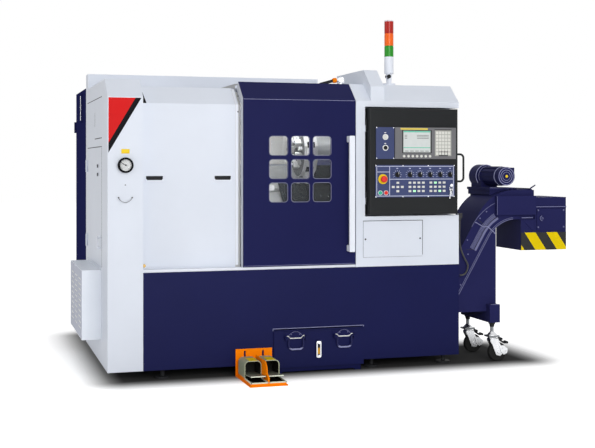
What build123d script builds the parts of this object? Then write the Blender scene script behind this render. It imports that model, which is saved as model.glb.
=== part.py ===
# A CNC turning lathe with its chip conveyor, coolant tank, operator console and foot pedal.
# Millimetres, +Z up. Lengths named below are measured from the front left corner of the
# enclosure on the floor: to the right, to the back and up.
import math
import os

from build123d import *

os.makedirs("parts", exist_ok=True)

# Base and enclosure
base_length = 2217
base_depth = 1200
base_top = 633
floor_gap = 60
sheet = 25
overrun = 50
seat_gap = 0.3
column_width = 206
column_depth = 280
break_height = 1660
hood_run = 130
hood_rise = 112
cover_setback = 70
cover_break_height = 1629
cover_run = 120
cover_rise = 106
cover_thickness = 20
bulkhead_left = 775
bulkhead_thickness = 31
spindle_opening_radius = 118

# Flush pulls of the headstock cover
pull_length = 100
pull_height = 24
pull_depth = 14
pull_wall = 2
pull_lip = 6
pull_level = 1186
pull_inset = 78

# Levelling feet
foot_radius = 45
foot_pad = 14
foot_stud_radius = 12
foot_nut_radius = 20
foot_nut_height = 14
foot_inset = 75
foot_column_shares = (0.15, 0.41, 0.745, 0.965)

# Left side: vent cover and access door
vent_reach = 115
vent_front = 322
vent_back_inset = 130
vent_bottom = 206
vent_top = 627
vent_wall = 3
vent_slot_length = 150
vent_slot_height = 10
vent_columns = 3
vent_rows = 10
vent_side_margin = 145
vent_end_margin = 62
access_front = 290
access_back_inset = 110
access_bottom = 645
access_top = 1372
inset_gap = 1.5
latch_radius = 11
latch_depth = 4
latch_setback = 190
latch_spacing = 52
latch_level_share = 0.77

# Barrel hinges of the side doors and of the console
hinge_radius = 7
hinge_pin_radius = 4
hinge_half_length = 40
hinge_bore_gap = 0.05
hinge_level_shares = (0.16, 0.84)
hinge_leaf = 3
hinge_leaf_width = 24

# Electrical cabinet behind the machine
cabinet_depth = 720
cabinet_length = 1450
cabinet_bottom = 180
cabinet_top = 1800
cabinet_wall = 20
cabinet_door_margin = 14
cabinet_grip_width = 26
cabinet_grip_height = 200
cabinet_grip_depth = 16
cabinet_grip_setback = 190
cabinet_grip_level = 1560

# Roof
roof_box_inset = 120
roof_box_depth = 118
roof_box_top = 1874
roof_box_length = 1620
duct_left = 1620
duct_width = 90
duct_height = 91
duct_back = 650

# Sliding front door
door_left = 806
door_right = 1523
door_bottom = 649
door_thickness = 55
door_skin = 15
door_side_gap = 2
window_width = 117
window_height = 118
window_radius = 20
window_left = 968
window_bottom = 1038
window_pitch_x = 138.5
window_pitch_z = 141.5
window_count = 3
glass_margin = 16
glass_thickness = 8
grip_left = 1463
grip_width = 35
grip_thickness = 14
grip_bottom = 731
grip_top = 1442
grip_standoff = 42
grip_post_height = 40
grip_radius = 6
sill_front = 6
sill_back = 58

# Right front panel with the console niche
niche_left = 1583
niche_bottom = 945
niche_top = 1625
niche_depth = 150
niche_wall = 15
plate_left = 1570
plate_right = 1965
plate_bottom = 691
plate_top = 917
plate_proud = 3
plate_radius = 8

# Console and what it carries
console_left = 1595
console_width = 596
console_bottom = 954
console_height = 661
console_proud = 45
console_back = 130
console_radius = 10
console_hinge_offset = 6
bow_height = 172
bow_reach = 58
bow_radius = 6.5
bow_level = 1245
bow_bend = 24
display_left = 1760
display_width = 410
display_bottom = 1301
display_height = 196
display_thickness = 14
screen_left = 1814
screen_width = 183
screen_bottom = 1342
screen_height = 134
screen_depth = 6
screen_recess = 2
keypad_left = 2031
keypad_width = 102
keypad_bottom = 1324
keypad_height = 151
keypad_recess = 3
keypad_columns = 5
keypad_rows = 7
key_gap = 4
key_height = 5
soft_key_radius = 8
soft_key_left = 1818
soft_key_pitch = 29
soft_key_level = 1318
soft_key_count = 7
power_left = 1637
power_width = 120
panel_left = 1633
panel_width = 531
panel_bottom = 1063
panel_height = 200
panel_thickness = 6
power_radius = 13
power_ring = 4
power_ring_height = 5
power_level_shares = (0.69, 0.35)
power_button_height = 9
button_travel = 4
estop_left = 1680
estop_level = 1176
estop_ring_radius = 31
estop_head_radius = 20
estop_stem_radius = 11
estop_height = 44
estop_head_height = 16
estop_travel = 6
estop_ring_height = 4
cycle_left = 1664
hold_left = 1702
cycle_level = 1091
cycle_radius = 12
cycle_height = 12
override_left = 1777
selector_left = 1861
selector_pitch = 68
selector_count = 5
knob_level = 1203
knob_radius = 15
knob_skirt = 6
knob_height = 24
knob_grip_width = 9
knob_shaft_radius = 4
console_key_width = 17
console_key_height = 13
cross_left = 1779
key_block_left = 1860
key_block_shift = 141
key_block_pitch = 30
key_block_columns = 4
key_row_pitch = 26
key_row_low = 1101
key_rows = 3

# Pressure gauge on the column
gauge_left = 102
gauge_level = 1262
gauge_radius = 44
gauge_depth = 24
gauge_rim = 5
gauge_dial_recess = 6
gauge_needle_length = 32
gauge_needle_width = 3
gauge_needle_angle = 60

# Signal tower
tower_inset = 358
tower_back = 300
tower_radius = 30
tower_foot_radius = 42
tower_foot_height = 22
tower_pole_radius = 14
tower_pole_height = 70
tower_body_height = 104
lens_heights = (72, 80, 85)
lens_gap_radius = 28
lens_rim = 5

# Slant bed, headstock and spindle
spindle_back = 400
spindle_level = 1120
bed_left = 830
bed_end_gap = 47
bed_front = 410
bed_foot_top = 700
slant_length = 790
bed_back_gap = 26
rail_width = 36
rail_height = 30
rail_low = 120
rail_high = 560
headstock_left = 330
headstock_right = 745
headstock_front = 210
headstock_back = 760
headstock_top = 1300
headstock_shoulder = 120
headstock_boss_radius = 108
headstock_boss_length = 40
shaft_radius = 62
shaft_gap = 0.05
shaft_left = 190
cylinder_radius = 86
cylinder_length = 120
bar_bore_radius = 26
chuck_radius = 105
chuck_length = 110
chuck_left = 915
chuck_edge = 6
jaw_width = 36
jaw_length = 60
jaw_inner = 34
jaw_outer = 94
jaw_step = 26
jaw_count = 3
jaw_start_angle = 60

# Carriage, cross slide and turret
carriage_left = 1430
carriage_width = 300
carriage_low = 70
carriage_high = 610
carriage_block = 92
carriage_block_length = 96
carriage_plate_bottom = 52
carriage_plate_top = 80
cross_rail_width = 30
cross_rail_height = 22
cross_rail_inset = 44
cross_low = 470
cross_length = 270
cross_top = 160
turret_along = 610
turret_axis_height = 304
turret_body_radius = 120
turret_body_length = 230
turret_hub_radius = 60
turret_gap = 4
disc_radius = 165
disc_thickness = 90
disc_sides = 12
disc_hub_recess = 8
holder_width = 58
holder_height = 34
tool_width = 22
tool_length = 40

# Coolant tank
tank_left = 996
tank_width = 574
tank_bottom = 35
tank_face_top = 265
tank_face = 10
tank_lip = 12
tank_depth = 700
tank_wall = 5
tank_top = 250
tank_inset = 14
tank_side_gap = 0.5
bay_clearance = 20
tank_skid_width = 40
tank_skid_length = 60
bail_left_place = 1074
bail_spacing = 310
bail_width = 112
bail_rod_radius = 5
bail_drop = 68
bail_pivot_level = 216
bail_ear_width = 12
bail_ear_size = 24
bail_standoff = 15
bail_bend = 26
bail_plate = 3
bail_plate_margin = 16
sight_left = 1276
sight_bottom = 85
sight_top = 195
sight_width = 34
sight_proud = 10

# Foot pedal
pedal_left = 759
pedal_width = 225
pedal_plate_height = 162
pedal_reach = 359
pedal_sheet = 6
pedal_slot_width = 12
pedal_slot_length = 80
pedal_slot_level = 112
hood_wall = 4
hood_height = 122
hood_corner = 26
hood_depth = 150
hood_setback = 45
hood_margin = 8
hood_divider = 8
tray_height = 24
tray_front = 350
fin_height = 104
fin_low = 48
fin_crest = 235
fin_rise = 120
tread_gap = 3
tread_thickness = 6
tread_front = 318
tread_tilt_height = 22
tread_pin_radius = 5
tread_pin_level = 30

# Chip conveyor
conveyor_front = 40
conveyor_back = 370
conveyor_start = 850
conveyor_bottom = 320
trough_top = 500
trough_wall = 8
incline_angle = 60
incline_inset = 45
incline_thickness = 138
neck_bottom = 910
neck_top = 1100
neck_reach = 555
leg_reach = 280
inner_bend_radius = 225
outer_bend_radius = 280
channel_clearance = 5
guard_length = 282
guard_bottom = 940
guard_top = 1063
guard_proud = 32
head_overlap = 100
head_length = 330
head_margin = 10
head_bottom = 708
head_top = 1052
head_wall = 8
hatch_inset = 10
hatch_length = 206
hatch_bottom = 836
hatch_top = 976
hatch_proud = 6
head_rail_level = 989
head_rail_height = 10
head_shaft_radius = 20
head_shaft_inset = 180
head_shaft_level = 915

# Conveyor gearmotor
motor_reach = 352
motor_level = 1190
motor_radius = 58
motor_front = 32
motor_length = 270
motor_fin_count = 12
motor_fin_height = 6
motor_fin_width = 5
fan_cover_length = 60
fan_cover_radius = 60
fan_hub_radius = 14
fan_hub_height = 4
gearbox_radius = 76
gearbox_length = 105
gearbox_neck_radius = 66
gearbox_neck_length = 24
motor_foot_width = 180
motor_foot_height = 16
motor_box_height = 80
motor_box_drop = 24
motor_box_reach = 28
motor_box_length = 90

# Conveyor casters
caster_reach = 245
caster_front_place = 26
caster_spacing = 358
caster_wheel_radius = 61
caster_wheel_width = 34
caster_hub_radius = 18
caster_hub_gap = 1
caster_offset = 34
caster_axle_radius = 6
caster_axle_gap = 0.05
fork_wall = 5
fork_gap = 3
fork_width = 46
fork_crown_level = 132
fork_crown = 14
caster_plate_level = 158
caster_plate = 10
caster_plate_size = 74
caster_stem_radius = 11
beam_width = 71
beam_lead = 33
beam_bottom = 252
beam_top = 367
beam_margin = 38
caster_pin_radius = 9
caster_nut_radius = 18
caster_nut_height = 12

# Supply conduit on the right side, from the elbow under the console to the gland in the base
conduit_radius = 5.5
conduit_depth = 14
gland_radius = 10
gland_length = 12
elbow_width = 26
elbow_height = 30
elbow_depth = 20
conduit_top = 925
conduit_drop = 365
conduit_reach = 71
conduit_run_share = 0.45
# Each point of the route, as shares of its reach from the base and of its drop
conduit_shares = (
    (0.18, 0), (0.18, 0.15), (0.14, 0.33), (0.21, 0.51), (0.63, 0.70),
    (1, 0.81), (0.96, 0.90), (0.77, 0.96), (0.49, 1), (0.17, 1),
)

# Places that follow from the sizes above
top_height = break_height + hood_rise
cabinet_back = base_depth + cabinet_depth
vent_back = base_depth - vent_back_inset
access_back = base_depth - access_back_inset
roof_box_front = base_depth - roof_box_inset
tower_left = base_length - tower_inset
bed_right = base_length - bed_end_gap
incline_foot = base_length - incline_inset
leg_right = base_length + leg_reach
neck_end = base_length + neck_reach
guard_left = neck_end - guard_length
head_left = neck_end - head_overlap
head_right = head_left + head_length
hatch_right = head_right - hatch_inset
hatch_left = hatch_right - hatch_length
head_shaft_left = head_right - head_shaft_inset
motor_left = base_length + motor_reach
caster_left = base_length + caster_reach
caster_fronts = (caster_front_place, caster_front_place + caster_spacing)
beam_left = caster_left - beam_lead
beam_right = beam_left + beam_width
bail_lefts = (bail_left_place, bail_left_place + bail_spacing)
key_block_lefts = (key_block_left, key_block_left + key_block_shift)
knob_lefts = [override_left] + [selector_left + n * selector_pitch for n in range(selector_count)]
conduit_route = [
    (base_length + reach_share * conduit_reach, conduit_top - drop_share * conduit_drop)
    for reach_share, drop_share in conduit_shares
]
overall_length = vent_reach + head_right
overall_depth = pedal_reach + cabinet_back
corner = Vector(vent_reach - overall_length / 2, pedal_reach - overall_depth / 2, 0)
front = Plane(origin=corner, x_dir=(1, 0, 0), z_dir=(0, -1, 0))
side = Plane(origin=corner, x_dir=(0, 1, 0), z_dir=(1, 0, 0))
floor = Plane(origin=corner, x_dir=(1, 0, 0), z_dir=(0, 0, 1))


def save(piece, name):
    piece.part.label = name
    export_step(piece.part, f"parts/{name}.step")


def rectangle_between(left, right, low, high):
    with Locations(((left + right) / 2, (low + high) / 2)):
        Rectangle(right - left, high - low)


def block(plane, left, right, low, high, thickness, mode=Mode.ADD):
    with BuildSketch(plane) as outline:
        rectangle_between(left, right, low, high)
    extrude(outline.sketch, amount=thickness, mode=mode)


def rounded_block(plane, left, right, low, high, thickness, radius, mode=Mode.ADD):
    with BuildSketch(plane) as outline:
        with Locations(((left + right) / 2, (low + high) / 2)):
            RectangleRounded(right - left, high - low, radius)
    extrude(outline.sketch, amount=thickness, mode=mode)


def profile(plane, points, thickness, mode=Mode.ADD):
    with BuildSketch(plane) as outline:
        with BuildLine():
            Polyline(*points, close=True)
        make_face()
    extrude(outline.sketch, amount=thickness, mode=mode)


def round_bar(plane, left, low, radius, length, mode=Mode.ADD):
    with BuildSketch(plane) as outline:
        with Locations((left, low)):
            Circle(radius)
    extrude(outline.sketch, amount=length, mode=mode)


def lean_profile(depth, bottom, bend, run, rise, thickness):
    # Section of a wall that stands upright to its bend and then leans back
    slope = math.hypot(run, rise)
    back_shift = thickness * rise / slope
    drop = thickness * run / slope
    inner_bend = bend - drop + (thickness - back_shift) * rise / run
    return [
        (depth, bottom),
        (depth, bend),
        (depth + run, bend + rise),
        (depth + run + back_shift, bend + rise - drop),
        (depth + thickness, inner_bend),
        (depth + thickness, bottom),
    ]


def hinge_levels(bottom, top):
    return [bottom + share * (top - bottom) for share in hinge_level_shares]


# The base: a heavy welded box with the tank bay in front and the chip channel on top
bay_left = tank_left + tank_inset
bay_right = tank_left + tank_width - tank_inset
with BuildPart() as base_frame:
    base_plan = [
        (column_width, 0),
        (base_length, 0),
        (base_length, base_depth),
        (sheet, base_depth),
        (sheet, column_depth),
        (column_width, column_depth),
    ]
    profile(floor.offset(floor_gap), base_plan, base_top - floor_gap)
    block(
        floor.offset(floor_gap - overrun),
        bay_left - tank_side_gap,
        bay_right + tank_side_gap,
        -overrun,
        tank_depth + bay_clearance,
        tank_top + bay_clearance - floor_gap + overrun,
        mode=Mode.SUBTRACT,
    )
    block(
        floor.offset(conveyor_bottom),
        conveyor_start - channel_clearance,
        base_length + overrun,
        conveyor_front - channel_clearance,
        conveyor_back + channel_clearance,
        base_top - conveyor_bottom + overrun,
        mode=Mode.SUBTRACT,
    )
    gland_level = conduit_route[-1][1]
    round_bar(side.offset(base_length), conduit_depth, gland_level, gland_radius, gland_length)
save(base_frame, "base_frame")

# Levelling feet: pad, stud and lock nut under each corner and along the base
with BuildPart() as leveling_feet:
    for share in foot_column_shares:
        for foot_back in (foot_inset, base_depth - foot_inset):
            round_bar(floor, share * base_length, foot_back, foot_radius, foot_pad)
            round_bar(floor, share * base_length, foot_back, foot_stud_radius, floor_gap)
            with BuildSketch(floor.offset(floor_gap - foot_nut_height)):
                with Locations((share * base_length, foot_back)):
                    RegularPolygon(foot_nut_radius, 6)
            extrude(amount=foot_nut_height)
save(leveling_feet, "leveling_feet")

# The left column, a closed duct that leans back at the top
with BuildPart() as left_column:
    column_section = [
        (0, floor_gap),
        (0, break_height),
        (hood_run, top_height),
        (column_depth, top_height),
        (column_depth, floor_gap),
    ]
    profile(side, column_section, column_width)
save(left_column, "left_column")

# The left side panel with the opening of its access door and the fixed hinge halves
hinge_out = -hinge_radius - seat_gap
access_hinge_back = access_back + inset_gap / 2
access_levels = hinge_levels(access_bottom, access_top)
with BuildPart() as left_side_panel:
    block(side, column_depth, base_depth, floor_gap, top_height, sheet)
    block(
        side.offset(-overrun),
        access_front - inset_gap,
        access_back + inset_gap,
        access_bottom - inset_gap,
        access_top + inset_gap,
        sheet + 2 * overrun,
        mode=Mode.SUBTRACT,
    )
    for level in access_levels:
        pivot = floor.offset(level - hinge_half_length)
        round_bar(pivot, hinge_out, access_hinge_back, hinge_radius, hinge_half_length)
        round_bar(pivot, hinge_out, access_hinge_back, hinge_pin_radius, 2 * hinge_half_length)
        block(
            pivot,
            -hinge_leaf,
            0,
            access_hinge_back + hinge_bore_gap,
            access_hinge_back + hinge_leaf_width,
            hinge_half_length,
        )
save(left_side_panel, "left_side_panel")

# The access door with its lift-off hinge halves and two quarter-turn latches
with BuildPart() as left_access_door:
    block(side, access_front, access_back, access_bottom, access_top, sheet)
    for level in access_levels:
        pivot = floor.offset(level + seat_gap)
        round_bar(pivot, hinge_out, access_hinge_back, hinge_radius, hinge_half_length)
        block(
            pivot,
            -hinge_leaf,
            0,
            access_hinge_back - hinge_leaf_width,
            access_hinge_back - hinge_bore_gap,
            hinge_half_length,
        )
        round_bar(
            pivot,
            hinge_out,
            access_hinge_back,
            hinge_pin_radius + hinge_bore_gap,
            hinge_half_length,
            mode=Mode.SUBTRACT,
        )
    latch_level = access_bottom + latch_level_share * (access_top - access_bottom)
    for latch_place in (latch_level, latch_level + latch_spacing):
        round_bar(side, access_front + latch_setback, latch_place, latch_radius, -latch_depth)
save(left_access_door, "left_access_door")

# The vent cover, a folded box open to the machine, with rows of slots in its face
with BuildPart() as vent_cover:
    block(side, vent_front, vent_back, vent_bottom, vent_top, -vent_reach)
    block(
        side.offset(overrun),
        vent_front + vent_wall,
        vent_back - vent_wall,
        vent_bottom + vent_wall,
        vent_top - vent_wall,
        vent_wall - vent_reach - overrun,
        mode=Mode.SUBTRACT,
    )
    vent_pitch_y = (vent_back - vent_front - 2 * vent_side_margin) / (vent_columns - 1)
    vent_pitch_z = (vent_top - vent_bottom - 2 * vent_end_margin) / (vent_rows - 1)
    with BuildSketch(side.offset(-vent_reach - overrun)):
        with Locations(((vent_front + vent_back) / 2, (vent_bottom + vent_top) / 2)):
            with GridLocations(vent_pitch_y, vent_pitch_z, vent_columns, vent_rows):
                Rectangle(vent_slot_length, vent_slot_height)
    extrude(amount=2 * overrun, mode=Mode.SUBTRACT)
save(vent_cover, "vent_cover")

# The headstock cover, a lift-off panel set back behind the door's path, with pockets for its pulls
pull_centres = (column_width + pull_inset, bulkhead_left - pull_inset)
with BuildPart() as headstock_cover:
    cover_section = lean_profile(
        cover_setback, base_top, cover_break_height, cover_run, cover_rise, cover_thickness
    )
    profile(side.offset(column_width), cover_section, bulkhead_left - column_width)
    with BuildSketch(front.offset(-cover_setback)):
        with Locations(*[(pull_centre, pull_level) for pull_centre in pull_centres]):
            Rectangle(pull_length, pull_height)
    extrude(amount=-pull_depth, mode=Mode.SUBTRACT)
save(headstock_cover, "headstock_cover")

# Flush pulls: a shallow cup with a lip along its lower edge
with BuildPart() as flush_pulls:
    for pull_centre in pull_centres:
        block(
            front.offset(-cover_setback),
            pull_centre - pull_length / 2,
            pull_centre + pull_length / 2,
            pull_level - pull_height / 2,
            pull_level + pull_height / 2,
            -pull_depth,
        )
        block(
            front.offset(-cover_setback),
            pull_centre - pull_length / 2 + pull_wall,
            pull_centre + pull_length / 2 - pull_wall,
            pull_level - pull_height / 2 + pull_lip,
            pull_level + pull_height / 2 - pull_wall,
            pull_wall - pull_depth,
            mode=Mode.SUBTRACT,
        )
save(flush_pulls, "flush_pulls")

# The bulkhead between headstock and work area, with the opening for the spindle nose
roof_low = cover_break_height + cover_rise
lean_share = (roof_low - sheet - cover_break_height) / cover_rise
with BuildPart() as bulkhead:
    bulkhead_section = [
        (cover_setback, base_top),
        (cover_setback, cover_break_height),
        (cover_setback + lean_share * cover_run, roof_low - sheet),
        (base_depth - sheet, roof_low - sheet),
        (base_depth - sheet, base_top),
    ]
    profile(side.offset(bulkhead_left), bulkhead_section, bulkhead_thickness)
    round_bar(
        side.offset(bulkhead_left - overrun),
        spindle_back,
        spindle_level,
        spindle_opening_radius,
        bulkhead_thickness + 2 * overrun,
        mode=Mode.SUBTRACT,
    )
save(bulkhead, "bulkhead")

# The sill that carries the sliding door
with BuildPart() as door_track:
    block(
        floor.offset(base_top),
        column_width,
        door_right,
        sill_front,
        sill_back,
        door_bottom - seat_gap - base_top,
    )
save(door_track, "door_track")

# The right front panel: a wall that leans back at the top, with the console niche behind it
with BuildPart() as right_front_panel:
    panel_section = lean_profile(0, base_top, break_height, hood_run, hood_rise, sheet)
    profile(side.offset(door_right), panel_section, base_length - door_right)
    block(
        front.offset(-sheet),
        niche_left - niche_wall,
        base_length,
        niche_bottom - niche_wall,
        niche_top + niche_wall,
        sheet - niche_depth - niche_wall,
    )
    block(
        front.offset(overrun),
        niche_left,
        base_length + overrun,
        niche_bottom,
        niche_top,
        -niche_depth - overrun,
        mode=Mode.SUBTRACT,
    )
    rounded_block(
        front, plate_left, plate_right, plate_bottom, plate_top, plate_proud, plate_radius
    )
    console_levels = hinge_levels(console_bottom, console_bottom + console_height)
    console_axis = console_left - console_hinge_offset
    for level in console_levels:
        pivot = floor.offset(level - hinge_half_length)
        round_bar(pivot, console_axis, -hinge_radius, hinge_pin_radius, 2 * hinge_half_length)
        round_bar(
            pivot, console_axis, -hinge_radius, console_hinge_offset - seat_gap, hinge_half_length
        )
        block(
            pivot,
            niche_left - hinge_leaf_width,
            console_axis,
            -hinge_leaf,
            0,
            hinge_half_length,
        )
        block(pivot, niche_left - hinge_leaf, console_axis, -hinge_radius, 0, hinge_half_length)
    elbow_left, elbow_bottom = conduit_route[0]
    block(
        floor.offset(elbow_bottom),
        base_length,
        base_length + elbow_width,
        conduit_depth - elbow_depth / 2,
        conduit_depth + elbow_depth / 2,
        elbow_height,
    )
save(right_front_panel, "right_front_panel")

# The right side wall, cut back where the conveyor comes through, and the rear wall, welded to it
# and stepped under the two levels of the roof
niche_back = niche_depth + niche_wall
with BuildPart() as rear_panel:
    conveyor_edge = conveyor_back + channel_clearance
    inner_top, inner_bend = panel_section[3], panel_section[4]
    inner_share = (top_height - sheet - inner_bend[1]) / (inner_top[1] - inner_bend[1])
    side_outline = [
        (conveyor_edge, base_top),
        (base_depth - sheet, base_top),
        (base_depth - sheet, top_height - sheet),
        (inner_bend[0] + inner_share * (inner_top[0] - inner_bend[0]), top_height - sheet),
        inner_bend,
        (inner_bend[0], niche_top + niche_wall),
        (niche_back, niche_top + niche_wall),
        (niche_back, niche_bottom - niche_wall),
        (conveyor_edge, niche_bottom - niche_wall),
    ]
    profile(side.offset(base_length - sheet), side_outline, sheet)
    rear_outline = [
        (sheet, base_top),
        (base_length, base_top),
        (base_length, top_height - sheet),
        (door_right + sheet, top_height - sheet),
        (door_right + sheet, roof_low - sheet),
        (sheet, roof_low - sheet),
    ]
    profile(front.offset(-base_depth), rear_outline, sheet)
save(rear_panel, "rear_panel")

# The roof: two levels with a riser between them, the rear duct box and the cable duct
with BuildPart() as roof_cover:
    low_edge = [
        (cover_setback + cover_run, roof_low),
        (base_depth, roof_low),
        (base_depth, roof_low - sheet),
        (cover_setback + cover_run + sheet * cover_rise / cover_run, roof_low - sheet),
    ]
    profile(side.offset(column_width), low_edge, door_right - column_width)
    block(
        floor.offset(roof_low - sheet), sheet, door_right, column_depth, base_depth, sheet
    )
    high_edge = [
        (hood_run, top_height),
        (base_depth, top_height),
        (base_depth, top_height - sheet),
        (hood_run + sheet * hood_rise / hood_run, top_height - sheet),
    ]
    profile(side.offset(door_right), high_edge, base_length - door_right)
    block(
        floor.offset(roof_low - sheet),
        door_right,
        door_right + sheet,
        column_depth,
        base_depth,
        top_height - roof_low,
    )
    roof_box_back = roof_box_front + roof_box_depth
    block(
        floor.offset(roof_low),
        sheet,
        door_right + sheet,
        roof_box_front,
        roof_box_back,
        top_height - roof_low,
    )
    block(
        floor.offset(top_height),
        0,
        roof_box_length,
        roof_box_front,
        roof_box_back,
        roof_box_top - top_height,
    )
    duct_section = [
        (0, break_height),
        (0, break_height + duct_height),
        (hood_run, top_height + duct_height),
        (duct_back, top_height + duct_height),
        (duct_back, top_height),
        (hood_run, top_height),
    ]
    profile(side.offset(duct_left), duct_section, duct_width)
save(roof_cover, "roof_cover")

# The electrical cabinet, a steel box open to the left, with the fixed hinge halves of its door
cabinet_door_back = cabinet_back - cabinet_door_margin
cabinet_hinge_back = cabinet_back - hinge_radius
cabinet_levels = hinge_levels(cabinet_bottom, cabinet_top)
with BuildPart() as electrical_cabinet:
    block(
        floor.offset(cabinet_bottom),
        sheet,
        cabinet_length,
        base_depth,
        cabinet_back,
        cabinet_top - cabinet_bottom,
    )
    block(
        floor.offset(cabinet_bottom + cabinet_wall),
        sheet - overrun,
        cabinet_length - cabinet_wall,
        base_depth + cabinet_wall,
        cabinet_back - cabinet_wall,
        cabinet_top - cabinet_bottom - 2 * cabinet_wall,
        mode=Mode.SUBTRACT,
    )
    for level in cabinet_levels:
        pivot = floor.offset(level - hinge_half_length)
        round_bar(pivot, -hinge_radius, cabinet_hinge_back, hinge_radius, hinge_half_length)
        round_bar(pivot, -hinge_radius, cabinet_hinge_back, hinge_pin_radius, 2 * hinge_half_length)
        block(
            pivot,
            -hinge_radius,
            sheet,
            cabinet_back - hinge_leaf,
            cabinet_back,
            hinge_half_length,
        )
save(electrical_cabinet, "electrical_cabinet")

# The cabinet door on the left side, hung at its rear edge, with a tall swing grip
with BuildPart() as cabinet_door:
    block(
        side,
        base_depth + cabinet_door_margin,
        cabinet_door_back,
        cabinet_bottom + cabinet_door_margin,
        cabinet_top - cabinet_door_margin,
        sheet - seat_gap,
    )
    for level in cabinet_levels:
        pivot = floor.offset(level + seat_gap)
        round_bar(pivot, -hinge_radius, cabinet_hinge_back, hinge_radius, hinge_half_length)
        block(
            pivot,
            -hinge_leaf,
            0,
            cabinet_hinge_back - hinge_leaf_width,
            cabinet_hinge_back,
            hinge_half_length,
        )
        round_bar(
            pivot,
            -hinge_radius,
            cabinet_hinge_back,
            hinge_pin_radius + hinge_bore_gap,
            hinge_half_length,
            mode=Mode.SUBTRACT,
        )
    grip_place = base_depth + cabinet_grip_setback
    rounded_block(
        side,
        grip_place,
        grip_place + cabinet_grip_width,
        cabinet_grip_level,
        cabinet_grip_level + cabinet_grip_height,
        -cabinet_grip_depth,
        cabinet_grip_width / 3,
    )
save(cabinet_door, "cabinet_door")

# The sliding front door: a deep folded panel with nine windows and a pocket for the glass
glass_left = window_left - glass_margin
glass_right = window_left + (window_count - 1) * window_pitch_x + window_width + glass_margin
glass_bottom = window_bottom - glass_margin
glass_top = window_bottom + (window_count - 1) * window_pitch_z + window_height + glass_margin
window_middle = ((glass_left + glass_right) / 2, (glass_bottom + glass_top) / 2)
with BuildPart() as front_door:
    door_section = lean_profile(
        0, door_bottom, break_height, hood_run, hood_rise, door_thickness
    )
    profile(side.offset(door_left), door_section, door_right - door_side_gap - door_left)
    block(
        front.offset(-door_skin),
        glass_left,
        glass_right,
        glass_bottom,
        glass_top,
        door_skin - door_thickness - overrun,
        mode=Mode.SUBTRACT,
    )
    with BuildSketch(front.offset(overrun)):
        with Locations(window_middle):
            with GridLocations(window_pitch_x, window_pitch_z, window_count, window_count):
                RectangleRounded(window_width, window_height, window_radius)
    extrude(amount=-2 * overrun, mode=Mode.SUBTRACT)
save(front_door, "front_door")

# The safety glass behind the nine windows
with BuildPart() as door_glass:
    block(
        front.offset(-door_skin), glass_left, glass_right, glass_bottom, glass_top, -glass_thickness
    )
save(door_glass, "door_glass")

# The door's upright grip bar on two posts
with BuildPart() as door_handle:
    rounded_block(
        front.offset(grip_standoff),
        grip_left,
        grip_left + grip_width,
        grip_bottom,
        grip_top,
        grip_thickness,
        grip_radius,
    )
    for post_bottom in (grip_bottom, grip_top - grip_post_height):
        rounded_block(
            front,
            grip_left,
            grip_left + grip_width,
            post_bottom,
            post_bottom + grip_post_height,
            grip_standoff,
            grip_radius,
        )
save(door_handle, "door_handle")

# The console housing, hung at its front left edge, with a bow handle on its right side
console_face = front.offset(console_proud)
console_right = console_left + console_width
console_top = console_bottom + console_height
with BuildPart() as console_housing:
    block(
        console_face,
        console_left,
        console_right,
        console_bottom,
        console_top,
        -console_proud - console_back,
    )
    front_edges = console_housing.faces().sort_by(Axis.Y)[0].edges()
    fillet(front_edges, console_radius)
    for level in console_levels:
        pivot = floor.offset(level + seat_gap)
        round_bar(
            pivot, console_axis, -hinge_radius, console_hinge_offset - seat_gap, hinge_half_length
        )
        block(
            pivot,
            console_axis,
            console_left,
            -hinge_radius - hinge_leaf,
            -hinge_radius + hinge_leaf,
            hinge_half_length,
        )
        round_bar(
            pivot,
            console_axis,
            -hinge_radius,
            hinge_pin_radius + hinge_bore_gap,
            hinge_half_length,
            mode=Mode.SUBTRACT,
        )
    bow_low = bow_level - bow_height / 2
    bow_high = bow_level + bow_height / 2
    with BuildLine(front) as bow_path:
        FilletPolyline(
            (console_right, bow_low),
            (console_right + bow_reach, bow_low),
            (console_right + bow_reach, bow_high),
            (console_right, bow_high),
            radius=bow_bend,
        )
    with BuildSketch(Plane(bow_path.line @ 0, z_dir=bow_path.line % 0)):
        Circle(bow_radius)
    sweep(path=bow_path.line)
    for button_level in [display_bottom + share * display_height for share in power_level_shares]:
        round_bar(
            console_face,
            power_left + power_width / 2,
            button_level,
            power_radius,
            -button_travel - power_button_height,
            mode=Mode.SUBTRACT,
        )
    round_bar(
        console_face,
        estop_left,
        estop_level,
        estop_stem_radius + seat_gap,
        -2 * estop_travel,
        mode=Mode.SUBTRACT,
    )
    for button_left in (cycle_left, hold_left):
        round_bar(
            console_face,
            button_left,
            cycle_level,
            cycle_radius,
            -2 * button_travel,
            mode=Mode.SUBTRACT,
        )
    for knob_left in knob_lefts:
        round_bar(
            console_face,
            knob_left,
            knob_level,
            knob_shaft_radius + hinge_bore_gap,
            -knob_skirt,
            mode=Mode.SUBTRACT,
        )
save(console_housing, "console_housing")

# The display unit: a grey bezel with the screen opening and the keypad tray
screen_right = screen_left + screen_width
screen_top = screen_bottom + screen_height
keypad_right = keypad_left + keypad_width
keypad_top = keypad_bottom + keypad_height
display_face = console_face.offset(display_thickness)
with BuildPart() as display_unit:
    block(
        console_face,
        display_left,
        display_left + display_width,
        display_bottom,
        display_bottom + display_height,
        display_thickness,
    )
    block(
        display_face,
        screen_left,
        screen_right,
        screen_bottom,
        screen_top,
        -screen_recess - screen_depth,
        mode=Mode.SUBTRACT,
    )
    block(
        display_face,
        keypad_left,
        keypad_right,
        keypad_bottom,
        keypad_top,
        -keypad_recess,
        mode=Mode.SUBTRACT,
    )
save(display_unit, "display_unit")

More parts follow.
